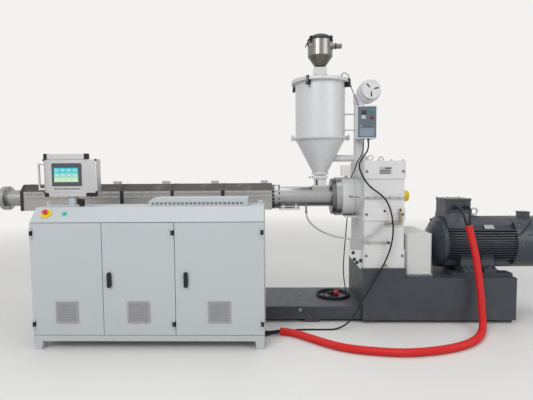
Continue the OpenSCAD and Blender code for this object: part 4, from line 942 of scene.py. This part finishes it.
new_piece("throat_window", slab((438, -64, 1398), (458, -61.5, 1464)), black_glass, 0.8)
print("oil pipe", round(length_of(oil_pipe), 2), "m")

# %% [markdown]
# ## Hopper, loader and dryer fittings
#
# Toggle clamps pull the lid down: a hook, a wire bail and a lever each. The loader's lid has a rubber band and three
# clips, and the blower's intake has three slots. The control box has a slate face with a display, two switches and four
# lamps, all unmarked. Rings and bent plates all stand round the hopper's axis.

# %% Clamps, clips and knuckle ears
def bent_plates(angles, points, half_width):
    """Strips whose outline is in radius and height, pushed sideways by their width and turned round the hopper."""
    radius, height = np.array(points, float).T
    plates = []
    for a in np.radians(angles):
        ring = np.column_stack([HOPPER_X + radius * math.cos(a), radius * math.sin(a), height])
        sideways = np.array([-math.sin(a), math.cos(a), 0.0]) * half_width
        plates.append(pushed(ring, -sideways, sideways))
    return plates


def hopper_ring(profile, sides=64):
    """A ring round the hopper's axis whose profile is in height and radius."""
    return turned(profile, (HOPPER_X, 0, 0), UP, sides, ring=True)


CLAMPS, CATCHES, EARS, LID_RIBS = (-120, -20, 60, 150), (-140, -38, 90), (-8, 188, 90), range(0, 360, 20)
BAIL_R, EAR_R = 327, 303
hook = bent_plates(
    CLAMPS, [(300, 2519), (322, 2519), (325, 2516), (325, 2500), (321, 2500), (321, 2514), (300, 2514)], 9)
lever = bent_plates(CLAMPS, [(319, 2498), (326, 2498), (330, 2440), (324, 2428), (319, 2440)], 11)
new_piece("toggle_levers", joined(*hook, *lever), black_oxide, 0.8)
bails = [tube(spline([[HOPPER_X + BAIL_R * math.cos(t) - s * math.sin(t), BAIL_R * math.sin(t) + s * math.cos(t), z]
                      for z in (2515, 2495, 2470, 2450)]), 2.2, 8) for t in np.radians(CLAMPS) for s in (-7, 7)]
new_piece("toggle_bails", joined(*bails), zinc)
ears = bent_plates(EARS, [(282, 1880), (312, 1880), (318, 1888), (318, 1922), (312, 1930), (282, 1930)], 11)
new_piece("knuckle_ears", joined(*ears), hopper_paint, 1.5)
ear_at = [[HOPPER_X + EAR_R * math.cos(a), EAR_R * math.sin(a), 1930] for a in np.radians(EARS)]
bolts("knuckle_bolts", hex_head(15, 9), ear_at)
catches = bent_plates(CATCHES, [(133, 2908), (142, 2908), (147, 2876), (141, 2862), (133, 2866)], 13)
new_piece("loader_catches", joined(*catches), zinc, 0.6)
band = hopper_ring([(2936, 131), (2936, 135), (2939, 137), (2950, 137), (2953, 134), (2953, 112)])
port_clamp = turned([(648, 27.5), (648, 32), (650, 33), (658, 33), (660, 32), (660, 27.5)], (0, 0, 2888.18), sides=40,
                    ring=True)
flap = bent_plates([180], [(118, 2948), (128, 2950), (161, 2884), (154, 2878), (132, 2914)], 17)
neck_ring = hopper_ring([(2654, 50), (2654, 57), (2664, 60), (2664, 53)], 48)
clips = bent_plates(CATCHES, [(131, 2880), (139, 2880), (146, 2896), (146, 2940), (152, 2962), (140, 2974), (128, 2974),
                              (128, 2960), (136, 2950), (136, 2900)], 10)
new_piece("loader_band", joined(band, port_clamp, *flap, neck_ring, *clips), black_plastic, 0.6)
skirt = hopper_ring(
    [(2950, 112), (2950, 129), (2955, 131), (2963, 125), (2976, 109), (2986, 95), (2991, 86), (2991, 76)])
ribs = bent_plates(LID_RIBS, [(84, 2992), (96, 2990), (111, 2979), (127, 2965), (126, 2958), (84, 2984)], 3)
new_piece("loader_lid_skirt", joined(skirt, *ribs), black_plastic, 0.5)
lip = hopper_ring([(2484, 303), (2484, 308), (2487, 310), (2491, 310), (2494, 308), (2494, 303)], 96)
seam = hopper_ring([(1905, 288), (1905, 292), (1908, 293), (1911, 292), (1911, 288)], 96)
new_piece("hopper_seams", joined(lip, seam), hopper_paint)
print("clamps and clips set")

# %% Blower slots and the control face
def flat_bar(middle, angle, start, end, width, y, depth):
    """A bar on a face that looks towards the front: it lies along an angle from a middle, between two radii."""
    a = math.radians(angle)
    along, over = np.array([math.cos(a), 0, math.sin(a)]), np.array([-math.sin(a), 0, math.cos(a)])
    outline = np.array([[start, -0.35], [start, 0.35], [end, 0.5], [end, -0.5]])
    ring = np.array([middle[0], 0, middle[1]]) + outline[:, :1] * along + outline[:, 1:] * width * over
    return pushed(ring, (0, y - depth, 0), (0, y + 1, 0))


BLOWER = (1009, 2400)
slots = [flat_bar(BLOWER, a, 26, 74, 17, -150, 1.2) for a in (132, 12, -92)]
new_piece("blower_slots", joined(*slots), black_paint)
rim = turned([(0, 88), (0, 96.5), (5, 97.5), (9, 96.5), (9, 88)], (BLOWER[0], -151, BLOWER[1]), (0, 1, 0), 64,
             ring=True)
hub = turned([(0, 16), (4, 16), (6, 12)], (BLOWER[0], -150, BLOWER[1]), FRONT, 32)
new_piece("blower_rim", joined(rim, hub), hopper_paint)
for name, low, high, material, bevel in [
    ("display", (890, -226.5, 2130), (942, -223, 2172), black_glass, 1.0),
    ("label", (890, -225.5, 2086), (934, -223, 2122), plate_metal, 0.6),
    ("field", (872, -225.0, 1908), (1022, -223.5, 1990), label_blue, 0.6),
]:
    new_piece("control_" + name, slab(low, high), material, bevel)
for name, z, material in (("green", 2163, green_dark), ("red", 2099, red_dark)):
    switch = joined(turned([(0, 19), (5, 19), (6, 17)], (1000, -224, z), FRONT, 32),
                    slab((982, -237, z - 5), (1018, -228, z + 5)))
    new_piece("control_switch_" + name, switch, material, 0.8)
for number, (x, material) in enumerate([(887, plate_metal), (929, red_dark), (970, red_dark), (1012, green_dark)]):
    lamp = turned([(0, 8), (3, 8), (5, 6.5), (6.5, 3)], (x, -224, 2012), FRONT, 20)
    new_piece("control_lamp_%d" % number, lamp, material)
print("control face set")

# %% [markdown]
# ## Motor details
#
# The fan's own box stands on a folded plate over the cowl, and its cable slips under the cowl's edge. The terminal box
# has two glands where the cables leave. Each place where a cord leaves a housing has a tapered boot.

# %% Motor plates, glands and boots
def sloped_plate(outline, thickness):
    """A flat plate in space: its outline pushed along its own normal."""
    outline = np.asarray(outline, float)
    normal = np.cross(outline[1] - outline[0], outline[2] - outline[0])
    return pushed(outline, (0, 0, 0), normal * thickness / np.linalg.norm(normal))


def boot(at, direction, wide, narrow, length):
    """A cable's tapered boot: a collar, then three shallow rings that shrink towards the cable."""
    steps = np.linspace(0, 1, 9)
    radius = wide + (narrow - wide) * steps ** 0.8 + 0.7 * np.cos(steps * 6 * math.pi)
    profile = [(-3, wide * 1.15), (4, wide * 1.15)] + [(5 + (length - 5) * s, r) for s, r in zip(steps, radius)]
    return turned(profile, at, direction, 20)


fan_plate = sloped_plate(
    [[2722, -72, 1046], [2702, -262, 892], [2606, -264, 876], [2560, -176, 1000], [2600, -72, 1046]], 4)
fan_lid = joined(slab((2627, -74, 1096), (2725, 34, 1106)), slab((2640, -78, 1030), (2712, -70, 1088)))
new_piece("fan_box_plate", joined(fan_plate, fan_lid), motor_paint, 1.0)
fan_path = spline([[2706, -60, 1052], [2706, -92, 1036], [2690, -140, 1018], [2654, -183, 996], [2610, -222, 964],
                   [2560, -252, 925], [2524, -270, 897], [2497, -270, 884], [2480, -258, 878]])
new_cord("fan_cable", fan_path, 5.0, [], sides=10)
name_plate = sloped_plate([[2190, -196, 938], [2290, -196, 938], [2290, -158, 974], [2190, -158, 974]], 3)
new_piece("motor_plate", name_plate, plate_metal, 0.5)
saddle = pushed([[0, -206, 940], [0, 206, 940], [0, 206, 958], [0, 152, 1050], [0, 141, 1101], [0, -141, 1101],
                 [0, -152, 1050], [0, -206, 958]], (1800, 0, 0), (2054, 0, 0))
new_piece("terminal_saddle", saddle, motor_paint, 3.0)
GLAND_X, GLAND_Z = (1896, 2013), 1165
glands = [boot((x, -139, GLAND_Z), FRONT, 22, 13.5, 66) for x in GLAND_X]
glands += [turned([(-2, 28), (0, 30), (15, 30), (17, 28)], (x, -140, GLAND_Z), FRONT, 6) for x in GLAND_X]
new_piece("motor_glands", joined(*glands), black_plastic, 0.6)
DOWN = (0, 0, -1)
boots = [boot(*row) for row in [
    ((930, -130, 1887), DOWN, 12, 7.2, 42), ((980, -150, 1887), DOWN, 14, 9.2, 44), ((870, -150, 2221), UP, 9, 5.0, 30),
    ((700, -110, 2533), (0.12, -0.1, 1), 9, 5.0, 28), ((-200, -735, 78), DOWN, 17, 12.2, 34),
    ((-245, -680, 78), DOWN, 17, 12.2, 34), ((-340, -632, 78), DOWN, 14, 9.2, 34)]]
new_piece("cable_boots", joined(*boots), black_plastic)
collar = turned([(0, 31), (0, 35.4), (2, 36.2), (9, 36.2), (11, 35.4), (11, 31)], (1900, -452, 1008),
                (0.227, -0.119, -0.967), 40, ring=True)
new_piece("conduit_collar", collar, red_plastic)
print("glands and boots set")

# %% [markdown]
# ## Cabinet and operator pod
#
# The panel is an anodised case with a touch screen. Its picture is a plain gradient that glows a little. The case's
# right side is a ribbed extrusion. Black corner blocks carry the bars.

# %% Panel details
screen = slab((-2003, -824.6, 1468), (-1783, -823.0, 1596))
new_piece("panel_picture", screen, glowing_screen, body="pod")
ridges = [slab((x - 4, -822.2, 1374), (x + 4, -819, 1670))
          for x in (-1740, -1718, -1696, -1674, -1652, -1630, -2092, -2074)]
new_piece("panel_ridges", joined(*ridges), pod_metal, 1.2, "pod")
keys = [slab((x - 9, -822.0, 1400), (x + 9, -819, 1411)) for x in np.linspace(-1996, -1778, 9)]
new_piece("panel_keys", joined(*keys), bezel_grey, 1.5, "pod")
caps = [slab((x - 9, -823, z - 9), (x + 9, -813, z + 9)) for z in (1377, 1667) for x in (-2098, -1622)]
new_piece("panel_corners", joined(*caps), black_plastic, 3.0, "pod")
grip_ends = [turned([(0, 12.5), (4, 13.5), (14, 13.5), (16, 12)], (-2105, -765, z), LEFT, 24) for z in (1402, 1634)]
new_piece("side_grip_collars", joined(*grip_ends), pod_metal, body="pod")
switch_box = joined(slab((-1812, -800, 1244), (-1762, -752, 1310)), slab((-1808, -801.5, 1262), (-1766, -799, 1300)))
new_piece("post_switch_box", switch_box, black_plastic, 2.0)
side_knobs = [turned([(-2, 8), (6, 8), (8, 14), (20, 15), (24, 11)], (-2130, -990, z), LEFT, 24) for z in (690, 852)]
new_piece("side_knobs", joined(*side_knobs), white_paint)
bolts("post_bolts", socket_head(15, 10), level_grid((-1922, -1798), (-812, -718), 1257))
KEY_Z = 574
for name, x in (("middle", -1441), ("right", -775)):
    lock = joined(slab((x - 8.5, -1047, 585), (x + 8.5, -1036, 676)),
                  turned([(0, 9), (3, 9), (4, 7)], (x, -1046, KEY_Z), FRONT, 24))
    new_piece("lock_lever_" + name, lock, black_plastic, 1.0, name + "_door")
    barrel_key = turned([(0, 5.5), (1.5, 5.5), (2, 4.5)], (x, -1050, KEY_Z), FRONT, 20)
    new_piece("lock_key_" + name, barrel_key, zinc, body=name + "_door")

# %% [markdown]
# ## Floor and light
#
# A pale floor, three large soft lamps and an even sky light it as a studio does. Far from the machine the floor's
# colour fades into the backdrop's, for the camera and mirrors, so that no horizon line crosses the picture. The lamps
# are set so that a colour comes out about as it is written. The background's white is only for the camera and for
# mirror-like surfaces, so it adds no light to the machine.

# %% Studio
BACKDROP, FLOOR_HALF = (0.90, 0.89, 0.87, 1), 60


def seen_rays(tree):
    """1 for rays from the camera, a mirror or glass, and 0 for those that only carry light."""
    direct, mirror, glass = (tree.put("LightPath", output="Is %s Ray" % kind)
                             for kind in ("Camera", "Glossy", "Transmission"))
    return tree.math("MAXIMUM", tree.math("MAXIMUM", direct, mirror), glass)


floor_mesh = bpy.data.meshes.new("floor")
square = FLOOR_HALF * np.array([[-1, -1, 0], [1, -1, 0], [1, 1, 0], [-1, 1, 0]], float)
floor_mesh.from_pydata(square.tolist(), [], [[0, 1, 2, 3]])
studio = Finish("studio floor", (0.72, 0.71, 0.69), 0.55)
studio.colour(studio.blend(studio.noise(0.8, 5.0), (0.72, 0.71, 0.69, 1), (0.78, 0.77, 0.75, 1)))
far = studio.put("VectorMath", [(0, studio.place)], output="Value", operation="LENGTH")
fade = studio.math("MULTIPLY", studio.between(far, 0.0, 1.0, 4.0, 11.0), seen_rays(studio))
glow = studio.put("Emission", [("Color", BACKDROP)])
mixed = studio.put("MixShader", [(0, fade), (1, studio.shader.outputs[0]), (2, glow)])
studio.tree.links.new(mixed, studio.tree.nodes["Material Output"].inputs["Surface"])
floor_mesh.materials.append(studio.material)
floor = bpy.data.objects.new("floor", floor_mesh)
bpy.context.scene.collection.objects.link(floor)


def soft_lamp(name, place, target, size, power):
    """A square lamp at a place in metres that faces a target."""
    lamp = bpy.data.objects.new(name, bpy.data.lights.new(name, "AREA"))
    lamp.data.size, lamp.data.energy = size, power
    lamp.location = place
    lamp.rotation_mode = "QUATERNION"
    lamp.rotation_quaternion = (Vector(target) - Vector(place)).to_track_quat("-Z", "Y")
    bpy.context.scene.collection.objects.link(lamp)


soft_lamp("key", (-3.5, -6.5, 6.0), (0, 0, 1.0), 4.0, 305)
soft_lamp("fill", (5.5, -5.0, 4.0), (0.5, 0, 1.0), 4.0, 150)
soft_lamp("sky", (0.0, 1.0, 7.5), (0, 0, 0), 6.0, 165)

world = bpy.data.worlds.new("studio")
bpy.context.scene.world = world
world.use_nodes = True
sky = Nodes(world.node_tree)
backdrop = sky.tree.nodes["Background"]
backdrop.inputs["Color"].default_value = BACKDROP
even = sky.put("Background", [("Color", (0.95, 0.97, 1.0, 1)), ("Strength", 0.45)])
choose = sky.put("MixShader", [(0, seen_rays(sky)), (1, even), (2, backdrop.outputs[0])])
sky.tree.links.new(choose, sky.tree.nodes["World Output"].inputs["Surface"])
bpy.context.scene.view_settings.view_transform = "Standard"
